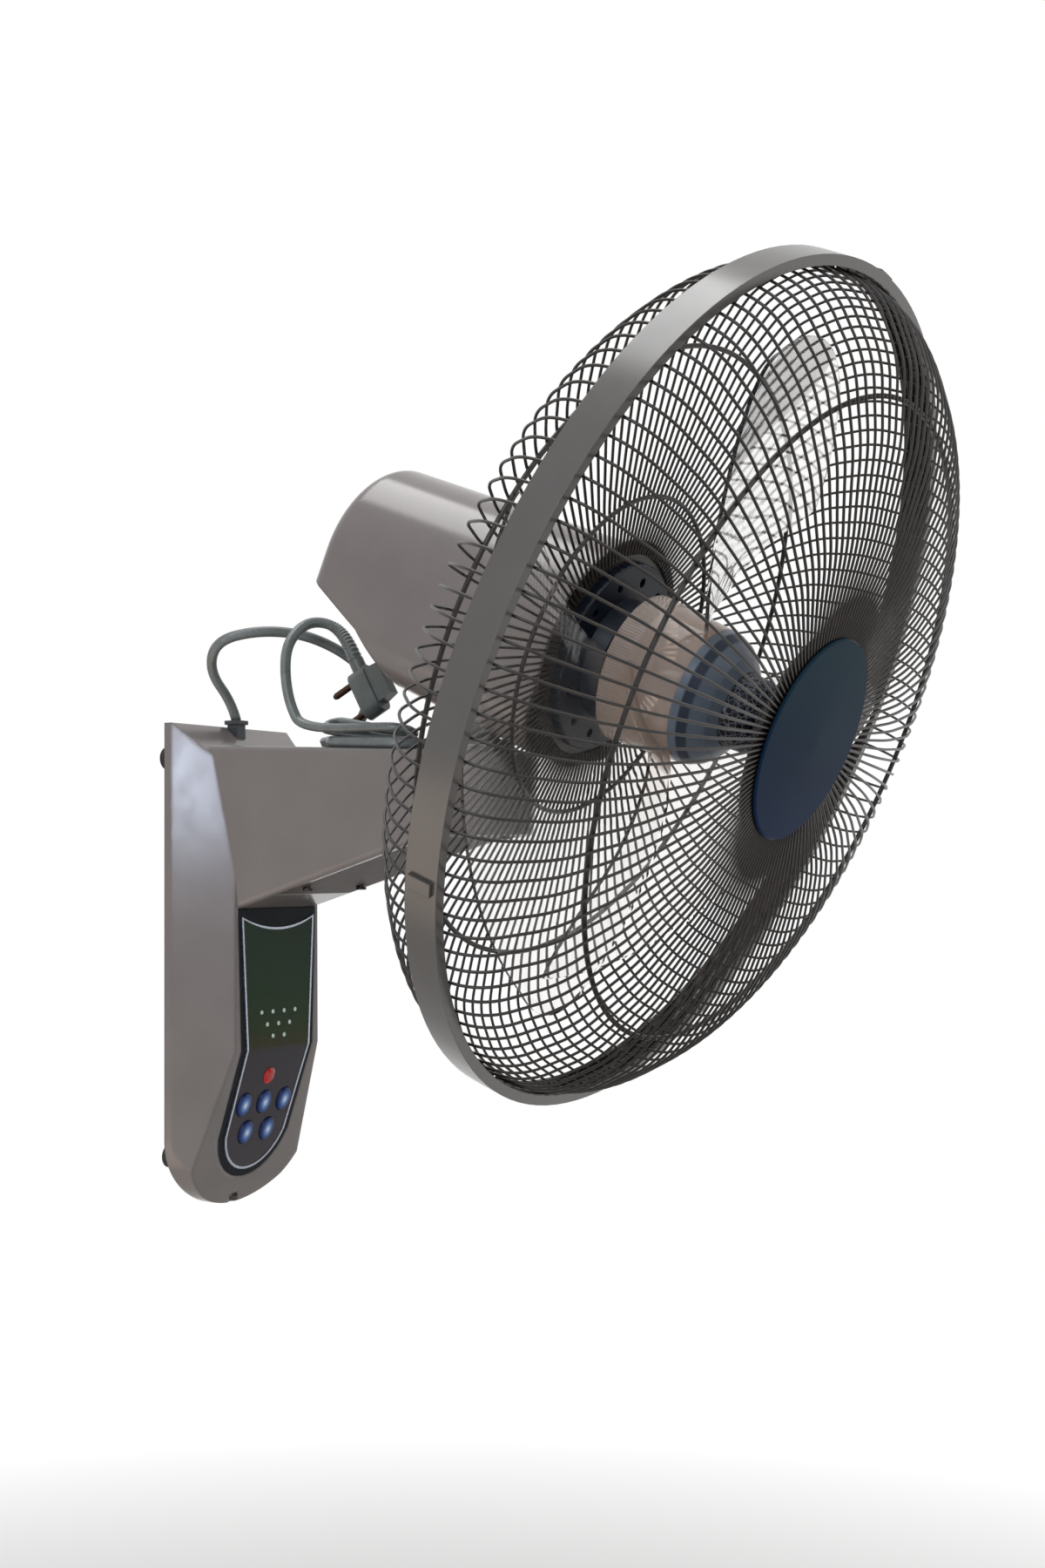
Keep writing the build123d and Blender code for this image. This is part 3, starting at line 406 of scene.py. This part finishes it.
def clearResin():
    # smoke tinted AS resin, moulded and polished: nearly clear in the thin blades, milky and
    # tan in the thick hub, with fine moulded ribs round the back of the hub
    look = resinLook
    settings = {"IOR": 1.3, "Roughness": 0.02, "Specular IOR Level": 0.5}
    material, tree, shader, place = startMaterial("smokyAsResin", settings)
    x, y, z = headCoordinates(tree, place)
    across = addNode(tree, "ShaderNodeMath", {0: x, 1: x}, operation="MULTIPLY")
    squares = addNode(tree, "ShaderNodeMath", {0: y, 1: y, 2: across}, operation="MULTIPLY_ADD")
    radius = addNode(tree, "ShaderNodeMath", {0: squares}, operation="SQRT")
    out = addNode(tree, "ShaderNodeMath", {0: radius, 1: 1 / look["reach"]}, operation="MULTIPLY")

    angle = addNode(tree, "ShaderNodeMath", {0: y, 1: x}, operation="ARCTAN2")
    ribs = stripes(tree, angle, 2 * pi / look["ribs"])
    rear = addNode(tree, "ShaderNodeMath", {0: z, 1: look["ribsBehind"]}, operation="LESS_THAN")
    near = addNode(tree, "ShaderNodeMath", {0: radius, 1: look["ribsWithin"]}, operation="LESS_THAN")
    onRear = addNode(tree, "ShaderNodeMath", {0: ribs, 1: rear}, operation="MULTIPLY")
    shaped = addNode(tree, "ShaderNodeMath", {0: onRear, 1: near}, operation="MULTIPLY")
    # the ribs also shift the hub's colour a little: painted shade and highlight along the ribs
    inputs = {0: shaped, 1: look["ribPaintedShade"], 2: out}
    ribbed = addNode(tree, "ShaderNodeMath", inputs, operation="MULTIPLY_ADD")

    hubEnd, bladeStart = look["hubEnd"] / look["reach"], look["bladeStart"] / look["reach"]
    shades = [
        (0.0, colour("#b39f92")), (hubEnd, colour("#c4b3a7")),
        (bladeStart, colour("#faf7f4")), (1.0, colour("#fdfcfb")),
    ]
    clear = zip((0.0, hubEnd, bladeStart), look["clear"])
    through = [(stop, (share, share, share, 1)) for stop, share in clear]
    feed(tree, shader, {
        "Base Color": addNode(tree, "ShaderNodeValToRGB", {"Fac": ribbed}, shades),
        "Transmission Weight": addNode(tree, "ShaderNodeValToRGB", {"Fac": out}, through),
    })
    addRelief(tree, shader, shaped, look["ribDepth"], look["ribStrength"])
    return material


# places along the shaft, from the middle of the guard
spinnerLook = {
    "reach": 0.04, "bandFrom": 0.016, "bandTo": 0.02, "fade": 0.001, "tip": 0.032,
    "slots": 16.0, "slotStart": 0.93, "slotsFrom": 0.0235, "slotDepth": 0.0006,
    "slotStrength": 0.8,
}


def spinnerPlastic():
    # glossy blue grey ABS nut with a darker painted band and short moulded slots
    look = spinnerLook
    settings = {"IOR": 1.53, "Roughness": 0.26, "Specular IOR Level": 0.2}
    material, tree, shader, place = startMaterial("glossSlateAbs", settings)
    x, y, z = headCoordinates(tree, place)
    along = addNode(tree, "ShaderNodeMath", {0: z, 1: 1 / look["reach"]}, operation="MULTIPLY")
    pale, dark, tip = colour("#66707d"), colour("#2a3342"), colour("#646d79")
    marks = [
        (0.0, pale), (look["bandFrom"] - look["fade"], pale), (look["bandFrom"], dark),
        (look["bandTo"], dark), (look["bandTo"] + look["fade"], pale), (look["tip"], tip),
    ]
    stops = [(mark / look["reach"], shade) for mark, shade in marks]
    feed(tree, shader, {"Base Color": addNode(tree, "ShaderNodeValToRGB", {"Fac": along}, stops)})

    angle = addNode(tree, "ShaderNodeMath", {0: y, 1: x}, operation="ARCTAN2")
    phase = addNode(tree, "ShaderNodeMath", {0: angle, 1: look["slots"]}, operation="MULTIPLY")
    wave = addNode(tree, "ShaderNodeMath", {0: phase}, operation="COSINE")
    inputs = {0: wave, 1: look["slotStart"]}
    slots = addNode(tree, "ShaderNodeMath", inputs, operation="GREATER_THAN")
    front = addNode(tree, "ShaderNodeMath", {0: z, 1: look["slotsFrom"]}, operation="GREATER_THAN")
    shown = addNode(tree, "ShaderNodeMath", {0: slots, 1: front}, operation="MULTIPLY")
    groove = addNode(tree, "ShaderNodeMath", {0: shown, 1: -1.0}, operation="MULTIPLY")
    addRelief(tree, shader, groove, look["slotDepth"], look["slotStrength"])
    return material


noseLook = {"perMetre": 340.0, "scatter": 0.7, "crest": 0.15, "depth": 0.002, "strength": 0.8}


def nosePlastic():
    # textured black ABS grip: a moulded relief of small cells, about 3 mm across
    look = noseLook
    settings = {"IOR": 1.53, "Roughness": 0.4, "Specular IOR Level": 0.15}
    material, tree, shader, place = startMaterial("reliefBlackAbs", settings)
    inputs = {"Vector": place, "Scale": look["perMetre"], "Randomness": look["scatter"]}
    edge = addNode(tree, "ShaderNodeTexVoronoi", inputs, feature="DISTANCE_TO_EDGE")
    # pale grey lines along the cell edges on the black: painted highlights where light catches the
    # relief
    stops = [(0.03, colour("#6a6e78")), (0.09, colour("#131519"))]
    feed(tree, shader, {"Base Color": addNode(tree, "ShaderNodeValToRGB", {"Fac": edge}, stops)})
    cell = addNode(tree, "ShaderNodeMath", {0: edge, 1: look["crest"]}, operation="MINIMUM")
    addRelief(tree, shader, cell, look["depth"], look["strength"])
    return material


badgeLook = {
    "height": 0.11, "cloud": 0.03, "cloudShare": 0.15,
    "grain": 0.0006, "grainDepth": 0.00001, "grainStrength": 0.5, "edge": 0.0004,
}


def badgeLacquer():
    # lacquered ABS disc: deep blue, a little greener above
    look = badgeLook
    settings = {"IOR": 1.5, "Roughness": 0.2, "Specular IOR Level": 0.015}
    material, tree, shader, place = startMaterial("lacqueredBlueAbs", settings)
    y = headCoordinates(tree, place)[1]
    inputs = {0: y, 1: 1 / look["height"], 2: 0.5}
    up = addNode(tree, "ShaderNodeMath", inputs, operation="MULTIPLY_ADD")
    inputs = {"Vector": place, "Scale": 1 / look["cloud"], "Detail": 3.0}
    cloud = addNode(tree, "ShaderNodeTexNoise", inputs)
    inputs = {0: cloud, 1: look["cloudShare"], 2: up}
    mixed = addNode(tree, "ShaderNodeMath", inputs, operation="MULTIPLY_ADD")
    stops = [(0.05, colour("#152a4c")), (0.45, colour("#142b43")), (0.95, colour("#1c3644"))]
    feed(tree, shader, {"Base Color": addNode(tree, "ShaderNodeValToRGB", {"Fac": mixed}, stops)})
    inputs = {"Vector": place, "Scale": 1 / look["grain"], "Detail": 3.0}
    grain = addNode(tree, "ShaderNodeTexNoise", inputs)
    addRelief(tree, shader, grain, look["grainDepth"], look["grainStrength"], look["edge"])
    return material


# heights of the film's ends, and its brushed lines
filmLook = {
    "low": -0.1265, "high": 0.018,
    "line": 0.0005, "stretch": 0.04, "lineShade": 0.05, "depth": 0.00002, "strength": 0.5,
}


def printedFilm():
    # gloss polycarbonate film, printed green above and brushed grey below, with an olive
    # fade between; the brushed lines are drawn 0.5 mm apart so that they show
    look = filmLook
    settings = {"IOR": 1.58, "Roughness": 0.2, "Specular IOR Level": 0.08}
    material, tree, shader, place = startMaterial("printedFilm", settings)
    x, y, z = addNode(tree, "ShaderNodeSeparateXYZ", {0: place}).outputs
    tall = look["high"] - look["low"]
    inputs = {0: z, 1: 1 / tall, 2: -look["low"] / tall}
    up = addNode(tree, "ShaderNodeMath", inputs, operation="MULTIPLY_ADD")
    drawn = addNode(tree, "ShaderNodeMath", {0: x, 1: look["stretch"]}, operation="MULTIPLY")
    spot = addNode(tree, "ShaderNodeCombineXYZ", {0: drawn, 2: z})
    inputs = {"Vector": spot, "Scale": 1 / look["line"], "Detail": 1.0}
    lines = addNode(tree, "ShaderNodeTexNoise", inputs)
    centred = addNode(tree, "ShaderNodeMath", {0: lines, 1: 0.5}, operation="SUBTRACT")
    inputs = {0: centred, 1: look["lineShade"], 2: up}
    shade = addNode(tree, "ShaderNodeMath", inputs, operation="MULTIPLY_ADD")
    stops = [
        (0.0, colour("#4b474b")), (0.47, colour("#3d3a3f")), (0.50, colour("#3b3a22")),
        (0.56, colour("#2b3a1d")), (0.70, colour("#20391f")), (1.0, colour("#1c3324")),
    ]
    feed(tree, shader, {"Base Color": addNode(tree, "ShaderNodeValToRGB", {"Fac": shade}, stops)})
    addRelief(tree, shader, lines, look["depth"], look["strength"])
    return material


# the leaning panel's place, and its keys in millimetres across and up on it
panel = {"place": (0.0, -0.0321, -0.0864), "lean": 18.88}
panelTurn = Euler((radians(90 + panel["lean"]), 0, 0))
keys = {
    "spots": [(-18.5, -1.8), (0, -1.8), (18.5, -1.8), (-9.8, -19.6), (9.8, -19.6)],
    "halfWide": 0.0059, "halfTall": 0.0071,
    "grain": 0.0006, "grainDepth": 0.00001, "grainStrength": 0.4, "edge": 0.0003,
}


def keyCap(number, spot):
    # blue translucent acrylic key, pale in its middle and darker towards its rim: a painted
    # highlight in the middle and painted shade at the rim
    settings = {"IOR": 1.49, "Roughness": 0.2, "Specular IOR Level": 0.2}
    material, tree, shader, place = startMaterial(f"blueAcrylicKey{number}", settings)
    centre = Vector(panel["place"]) + panelTurn.to_matrix() @ Vector((*spot, 0)) / 1000
    inputs = {
        "Vector": place, "Location": centre, "Rotation": panelTurn,
        "Scale": (keys["halfWide"], keys["halfTall"], 1.0),
    }
    local = addNode(tree, "ShaderNodeMapping", inputs, vector_type="TEXTURE")
    inputs = {0: local, 1: (1.0, 1.0, 0.0)}
    flat = addNode(tree, "ShaderNodeVectorMath", inputs, operation="MULTIPLY")
    far = addNode(tree, "ShaderNodeVectorMath", {0: flat}, operation="LENGTH").outputs["Value"]
    # painted highlight in the middle of the key, fading into painted shade at its rim
    stops = [
        (0.0, colour("#eef6ff")), (0.16, colour("#d3e4fa")), (0.36, colour("#7fa4dc")),
        (0.66, colour("#35599d")), (1.0, colour("#0f2150")),
    ]
    feed(tree, shader, {"Base Color": addNode(tree, "ShaderNodeValToRGB", {"Fac": far}, stops)})
    inputs = {"Vector": place, "Scale": 1 / keys["grain"], "Detail": 3.0}
    grain = addNode(tree, "ShaderNodeTexNoise", inputs)
    addRelief(tree, shader, grain, keys["grainDepth"], keys["grainStrength"], keys["edge"])
    return material


pvcLook = {
    "cloud": 0.009, "dark": 0.82, "light": 1.1, "glossPatch": 0.003, "glossVaries": 0.2,
    "grain": 0.0012, "grainDepth": 0.00003, "grainStrength": 0.5,
}


def flexiblePvc(name, shade, roughness):
    # extruded or moulded PVC: smooth and slightly waxy, with faint clouds
    look = pvcLook
    settings = {"IOR": 1.52, "Specular IOR Level": 0.45}
    material, tree, shader, place = startMaterial(name, settings)
    base = colour(shade)
    inputs = {"Vector": place, "Scale": 1 / look["cloud"], "Detail": 3.0}
    cloud = addNode(tree, "ShaderNodeTexNoise", inputs)
    stops = [(0.3, tint(base, [look["dark"]] * 3)), (0.7, tint(base, [look["light"]] * 3))]
    paint = addNode(tree, "ShaderNodeValToRGB", {"Fac": cloud}, stops)
    inputs = {"Vector": place, "Scale": 1 / look["glossPatch"], "Detail": 3.0}
    patch = addNode(tree, "ShaderNodeTexNoise", inputs)
    inputs = {0: patch, 1: look["glossVaries"], 2: roughness - look["glossVaries"] / 2}
    gloss = addNode(tree, "ShaderNodeMath", inputs, operation="MULTIPLY_ADD")
    inputs = {"Vector": place, "Scale": 1 / look["grain"], "Detail": 3.0}
    fine = addNode(tree, "ShaderNodeTexNoise", inputs)
    feed(tree, shader, {"Base Color": paint, "Roughness": gloss})
    addRelief(tree, shader, fine, look["grainDepth"], look["grainStrength"])
    return material


# shade, roughness and what differs from a usual moulding
plastics = {
    "warmGreyAbs": ("#756e6b", 0.17, {"edge": 0.003, "shine": 0.5}),
    "coverAbs": ("#4e4845", 0.55, {"shine": 0.15}),
    "slateAbs": ("#1f2328", 0.26, {"edge": 0.001, "shine": 0.05}),
    "bandAbs": ("#504d4a", 0.22, {"edge": 0.0005, "shine": 0.6}),
    "navyNylon": ("#141c27", 0.34, {"shine": 0.2}),
    "blackAbs": ("#17181b", 0.42, {}),
    "ivoryNylon": ("#ddd9cd", 0.45, {}),
    "darkGrommet": ("#363c3f", 0.4, {}),
    "redLens": ("#c21510", 0.12, {"edge": 0.0004}),
    "diffusedLamp": ("#d8efe2", 0.3, {}),
    "nitrileRubber": ("#191919", 0.7, {}),
}
# shade, roughness and the width of a cloud in the plating
metals = {
    "zincSteel": ("#b3b5b8", 0.3, 0.004),
    # the case screws under the arm are drawn dark: painted shade
    "shadedZinc": ("#4e4b49", 0.4, 0.0012),
    "castAlloy": ("#a2a4a7", 0.45, 0.0018),
    "groundSteel": ("#a9abb0", 0.2, 0.0012),
    "hotFoil": ("#b4b9c4", 0.25, 0.0008),
    # brass for the plug pins, drawn dark brown
    "darkBrass": ("#4a3a30", 0.35, 0.0015),
}
finishes = {
    "enamelledWire": enamelledSteel("enamelledWire", "#2c2825", 0.34),
    "cordPvc": flexiblePvc("cordPvc", "#6f7472", 0.3),
    "plugPvc": flexiblePvc("plugPvc", "#696d6a", 0.36),
    "copper": woundCopper(),
    "coreSteel": stackedCore(),
    "board": circuitBoard(),
    "clearResin": clearResin(),
    "spinnerAbs": spinnerPlastic(),
    "noseAbs": nosePlastic(),
    "badge": badgeLacquer(),
    "film": printedFilm(),
}
for name, (shade, roughness, extra) in plastics.items():
    finishes[name] = mouldedPlastic(name, shade, roughness, **extra)
for name, (shade, roughness, spangle) in metals.items():
    finishes[name] = platedSteel(name, shade, roughness, spangle)

# the CAD pieces that wear each finish
finishNodes = {
    "warmGreyAbs": ["base_shell", "motor_housing", "neck_fork"],
    "coverAbs": ["arm_cover"],
    "slateAbs": ["panel_frame"],
    "bandAbs": ["guard_band", "guard_clips"],
    "navyNylon": ["guard_nut"],
    "blackAbs": ["tact_switches", "capacitor"],
    "ivoryNylon": ["terminal_block", "swing_bush"],
    "darkGrommet": ["cord_gland"],
    "redLens": ["ir_lens"],
    "diffusedLamp": ["indicator_leds"],
    "enamelledWire": ["guard_plate", "front_plate", "front_guard_rings", "rear_guard_rings"],
    # the case screws wear zinc drawn dark as painted shade
    "shadedZinc": ["case_screws"],
    "zincSteel": [
        "wall_plate", "swing_motor", "swing_lever", "neck_clip", "tilt_bolt", "crank_arm",
        "drag_link", "motor_screws", "tilt_saddle",
    ],
    "castAlloy": ["front_shield", "rear_shield"],
    "groundSteel": ["motor_bearings", "rotor_core", "motor_shaft", "drive_pin"],
    "hotFoil": ["panel_trim"],
    "darkBrass": ["plug_pins"],
    "nitrileRubber": ["wall_pads"],
    "plugPvc": ["plug_body"],
    "copper": ["stator_windings"],
    "coreSteel": ["stator_core"],
    "board": ["control_board", "power_board"],
    "spinnerAbs": ["spinner"],
    "noseAbs": ["spinner_nose"],
    "badge": ["front_badge"],
    "film": ["panel_label"],
}


def finishNode(name, material):
    data = nodes[name].data
    data.materials.clear()
    data.materials.append(material)


for finish, names in finishNodes.items():
    for name in names:
        finishNode(name, finishes[finish])
for number, spot in enumerate(keys["spots"], 1):
    finishNode(f"button_{number}", keyCap(number, spot))
print("materials made")

cordLine = splineLine(leadRoute + hankRoute(hank) + tailRoute)
cordMesh = tubeMesh("supply_cord", cordLine, cordSection, Vector((0, 1, 0)))
supplyCord = surfacePiece("supply_cord", cordMesh, finishes["cordPvc"], "base")
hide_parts("cord_lead", "cord_hank", "cord_tail")

relief = {
    "length": 0.024, "slim": 0.0034, "growth": 0.0011, "flatness": 0.86,
    "rib": 0.00035, "steps": 4, "sides": 20,
}


def reliefPiece():
    # tapered sleeve on the cord's last 24 mm, in rings
    length, count = 0.0, 1
    while length < relief["length"]:
        length += (cordLine[-count] - cordLine[-count - 1]).length
        count += 1
    part = cordLine[-count:]
    fine = []
    for a, b in zip(part, part[1:]):
        fine += [a.lerp(b, k / relief["steps"]) for k in range(relief["steps"])]
    fine.append(part[-1])

    def section(k):
        raised = k % relief["steps"] in (0, 1)
        radius = relief["slim"] + relief["growth"] * k / (len(fine) - 1) + relief["rib"] * raised
        angles = [2 * pi * i / relief["sides"] for i in range(relief["sides"])]
        return [(radius * cos(a), radius * relief["flatness"] * sin(a)) for a in angles]

    mesh = tubeMesh("plug_relief", fine, section, Vector((1, 0, 0)))
    return surfacePiece("plug_relief", mesh, finishes["plugPvc"], "base")


plugRelief = reliefPiece()
print("cord laid:", round(sum((b - a).length for a, b in zip(cordLine, cordLine[1:])), 3), "m")


def startTree(name, inputs):
    # a Geometry Nodes tree with its named inputs and their first values
    tree = bpy.data.node_groups.new(name, "GeometryNodeTree")
    tree.interface.new_socket("Geometry", in_out="INPUT", socket_type="NodeSocketGeometry")
    tree.interface.new_socket("Geometry", in_out="OUTPUT", socket_type="NodeSocketGeometry")
    for label, (kind, value) in inputs.items():
        socket = tree.interface.new_socket(label, in_out="INPUT", socket_type="NodeSocket" + kind)
        if value is not None:
            socket.default_value = value
    return tree, tree.nodes.new("NodeGroupInput").outputs


def runTree(name, mesh, tree, values):
    # runs the tree on a mesh and gives back its result as a plain mesh
    obj = bpy.data.objects.new(name, mesh)
    scene.collection.objects.link(obj)
    modifier = obj.modifiers.new(name, "NODES")
    modifier.node_group = tree
    known = {i.name: i.identifier for i in tree.interface.items_tree if i.in_out == "INPUT"}
    for label, value in values.items():
        modifier[known[label]] = value
    graph = bpy.context.evaluated_depsgraph_get()
    result = bpy.data.meshes.new_from_object(obj.evaluated_get(graph), depsgraph=graph)
    result.name = name
    bpy.data.objects.remove(obj)
    return result


# each wire bends at corners given as (along the shaft, from the shaft) in millimetres, with
# the radius of each inner bend. The wires are drawn 1.5 mm thick, as thin as they look in the
# photograph; the CAD ones are 2 mm.
guard = {
    "count": 126,
    "radius": 0.00075,
    "front": {
        "corners": [(8.4, 221.2), (30, 217), (54, 188.5), (66, 151), (72.6, 104), (71.8, 52)],
        "bends": [38, 58, 110, 140],
    },
    "rear": {
        "corners": [(7.0, 221.2), (-17, 218.5), (-37, 200), (-46.5, 168), (-50.7, 92), (-50.7, 56)],
        "bends": [30, 34, 80, 140],
    },
}
headMatrix = Matrix.Translation(head["place"]) @ Euler(headTurn).to_matrix().to_4x4()


def wireTree():
    # rounds the path's corners, gives it thickness and sets copies round the shaft
    tree, given = startTree("guardWires", {
        "Wire Radius": ("Float", 0.001), "Sides": ("Int", 8), "Corner Steps": ("Int", 7),
        "Wires Round": ("Int", 126), "First Wire": ("Int", 0), "Wires Here": ("Int", 63),
        "Material": ("Material", None),
    })
    line = addNode(tree, "GeometryNodeMeshToCurve", {"Mesh": given["Geometry"]})
    bend = addNode(tree, "GeometryNodeInputNamedAttribute", {"Name": "bend"}, data_type="FLOAT")
    inputs = {"Curve": line, "Count": given["Corner Steps"], "Radius": bend}
    rounded = addNode(tree, "GeometryNodeFilletCurve", inputs, mode="POLY")
    inputs = {"Resolution": given["Sides"], "Radius": given["Wire Radius"]}
    ring = addNode(tree, "GeometryNodeCurvePrimitiveCircle", inputs)
    inputs = {"Curve": rounded, "Profile Curve": ring, "Fill Caps": True}
    wire = addNode(tree, "GeometryNodeCurveToMesh", inputs)
    spots = addNode(tree, "GeometryNodePoints", {"Count": given["Wires Here"]})
    index = addNode(tree, "GeometryNodeInputIndex")
    number = addNode(tree, "ShaderNodeMath", {0: index, 1: given["First Wire"]}, operation="ADD")
    share = addNode(tree, "ShaderNodeMath", {0: number, 1: given["Wires Round"]}, operation="DIVIDE")
    angle = addNode(tree, "ShaderNodeMath", {0: share, 1: 2 * pi}, operation="MULTIPLY")
    turn = addNode(tree, "FunctionNodeAxisAngleToRotation", {"Axis": (0, 0, 1), "Angle": angle})
    inputs = {"Points": spots, "Instance": wire, "Rotation": turn}
    placed = addNode(tree, "GeometryNodeInstanceOnPoints", inputs)
    real = addNode(tree, "GeometryNodeRealizeInstances", {0: placed})
    smooth = addNode(tree, "GeometryNodeSetShadeSmooth", {"Geometry": real})
    inputs = {"Geometry": smooth, "Material": given["Material"]}
    painted = addNode(tree, "GeometryNodeSetMaterial", inputs)
    addNode(tree, "NodeGroupOutput", {0: painted})
    return tree


def pathMesh(path):
    # one wire's corners as a line of edges, with the radius of its bend on each corner
    mesh = bpy.data.meshes.new("wirePath")
    corners = [(out / 1000, 0, along / 1000) for along, out in path["corners"]]
    mesh.from_pydata(corners, [(k, k + 1) for k in range(len(corners) - 1)], [])
    attribute = mesh.attributes.new("bend", "FLOAT", "POINT")
    attribute.data.foreach_set("value", [0.0] + [b / 1000 for b in path["bends"]] + [0.0])
    return mesh


def guardWires(tree, end, half, first):
    # half of the wires at one end of the guard
    name = f"guard_{end}_{half}"
    values = {
        "Wire Radius": guard["radius"], "Wires Round": guard["count"], "First Wire": first,
        "Wires Here": guard["count"] // 2, "Material": finishes["enamelledWire"],
    }
    mesh = runTree(name, pathMesh(guard[end]), tree, values)
    mesh.transform(headMatrix)
    piece = surfacePiece(name, mesh, finishes["enamelledWire"], "head")
    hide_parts(f"{end}_wires_{half}")


wires = wireTree()
for end in ("front", "rear"):
    for half, first in (("upper", 0), ("lower", guard["count"] // 2)):
        guardWires(wires, end, half, first)
print("guard wires made")

blades = {"merge": 0.000002, "crease": 35.0}


def clearBlades():
    # the blades' own mesh, its loose faces joined so that the clear resin bends light smoothly
    form = bmesh.new()
    form.from_mesh(nodes["fan_blade"].data)
    bmesh.ops.remove_doubles(form, verts=form.verts, dist=blades["merge"])
    bmesh.ops.recalc_face_normals(form, faces=form.faces)
    for face in form.faces:
        face.smooth = True
    crease = radians(blades["crease"])
    for edge in form.edges:
        edge.smooth = len(edge.link_faces) == 2 and edge.calc_face_angle() < crease
    mesh = bpy.data.meshes.new("clear_blades")
    form.to_mesh(mesh)
    form.free()
    piece = surfacePiece("clear_blades", mesh, finishes["clearResin"], "rotor")
    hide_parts("fan_blade")


clearBlades()
print("blades made")


def seenRays(tree):
    # 1 for what the camera sees, also in a gloss or through the clear blades, 0 for light
    rays = addNode(tree, "ShaderNodeLightPath").outputs
    inputs = {0: rays["Is Camera Ray"], 1: rays["Is Glossy Ray"]}
    direct = addNode(tree, "ShaderNodeMath", inputs, operation="MAXIMUM")
    inputs = {0: direct, 1: rays["Is Transmission Ray"]}
    return addNode(tree, "ShaderNodeMath", inputs, operation="MAXIMUM")


# the floor fades into the white backdrop between two distances from its middle
floorSizes = {"half": 14.0, "height": -0.75, "fadeFrom": 0.9, "fadeTo": 1.8}


def stagePlane(s):
    data = bpy.data.meshes.new("floor")
    corners = [(x * s["half"], y * s["half"], 0) for x, y in ((-1, -1), (1, -1), (1, 1), (-1, 1))]
    data.from_pydata(corners, [], [(0, 1, 2, 3)])
    data.transform(Matrix.Translation((0, 0, s["height"])))
    floor = bpy.data.objects.new("floor", data)
    scene.collection.objects.link(floor)
    settings = {"Base Color": colour("#f4f3f1"), "Roughness": 0.8}
    material, tree, shader, place = startMaterial("paleFloor", settings)
    far = addNode(tree, "ShaderNodeVectorMath", {0: place}, operation="LENGTH").outputs["Value"]
    inputs = {"Value": far, "From Min": s["fadeFrom"], "From Max": s["fadeTo"]}
    faded = addNode(tree, "ShaderNodeMapRange", inputs)
    inputs = {0: seenRays(tree), 1: faded}
    share = addNode(tree, "ShaderNodeMath", inputs, operation="MULTIPLY")
    glow = addNode(tree, "ShaderNodeEmission", {"Color": (1, 1, 1, 1), "Strength": 1.0})
    mix = addNode(tree, "ShaderNodeMixShader", {0: share, 1: shader, 2: glow})
    feed(tree, tree.nodes["Material Output"], {"Surface": mix})
    data.materials.append(material)


def makeWorld(level):
    # plain white to look at, and level strong as a light
    world = bpy.data.worlds.new("studio")
    scene.world = world
    world.use_nodes = True
    tree = world.node_tree
    inputs = {"Value": seenRays(tree), "To Min": level, "To Max": 1.0}
    strength = addNode(tree, "ShaderNodeMapRange", inputs)
    feed(tree, tree.nodes["Background"], {"Color": (1, 1, 1, 1), "Strength": strength})


# metres and watts
lamps = {
    "windowLamp": {
        "place": (-1.6, -0.7, 1.0), "size": (0.7, 0.9), "power": 13, "shade": "#eef4ff"},
    "ceilingLamp": {
        "place": (0.0, 0.0, 1.6), "size": (0.9, 0.9), "power": 11, "shade": "#ffffff"},
    "stripWindow": {
        "place": (-1.43, -0.21, 0.17), "size": (0.09, 0.16), "power": 1.3, "shade": "#dbe7ff"},
    "roomLamp": {
        "place": (-0.2, -2.2, 0.9), "size": (1.4, 1.4), "power": 9, "shade": "#fff6ec"},
    "wallBounce": {
        "place": (-0.7, 0.35, -0.55), "size": (0.8, 0.8), "power": 2.2, "shade": "#ffe2c4"},
}
lampAim = Vector((0, -0.2, 0.1))
worldLevel = 0.25


def makeLamps():
    for name, lamp in lamps.items():
        data = bpy.data.lights.new(name, "AREA")
        data.shape, data.energy = "RECTANGLE", lamp["power"]
        data.size, data.size_y = lamp["size"]
        data.color = colour(lamp["shade"])[:3]
        obj = bpy.data.objects.new(name, data)
        scene.collection.objects.link(obj)
        obj.location = lamp["place"]
        obj.rotation_mode = "QUATERNION"
        obj.rotation_quaternion = (obj.location - lampAim).to_track_quat("Z", "Y")


stagePlane(floorSizes)
makeWorld(worldLevel)
makeLamps()
scene.view_settings.view_transform = "Standard"

print("scene made")
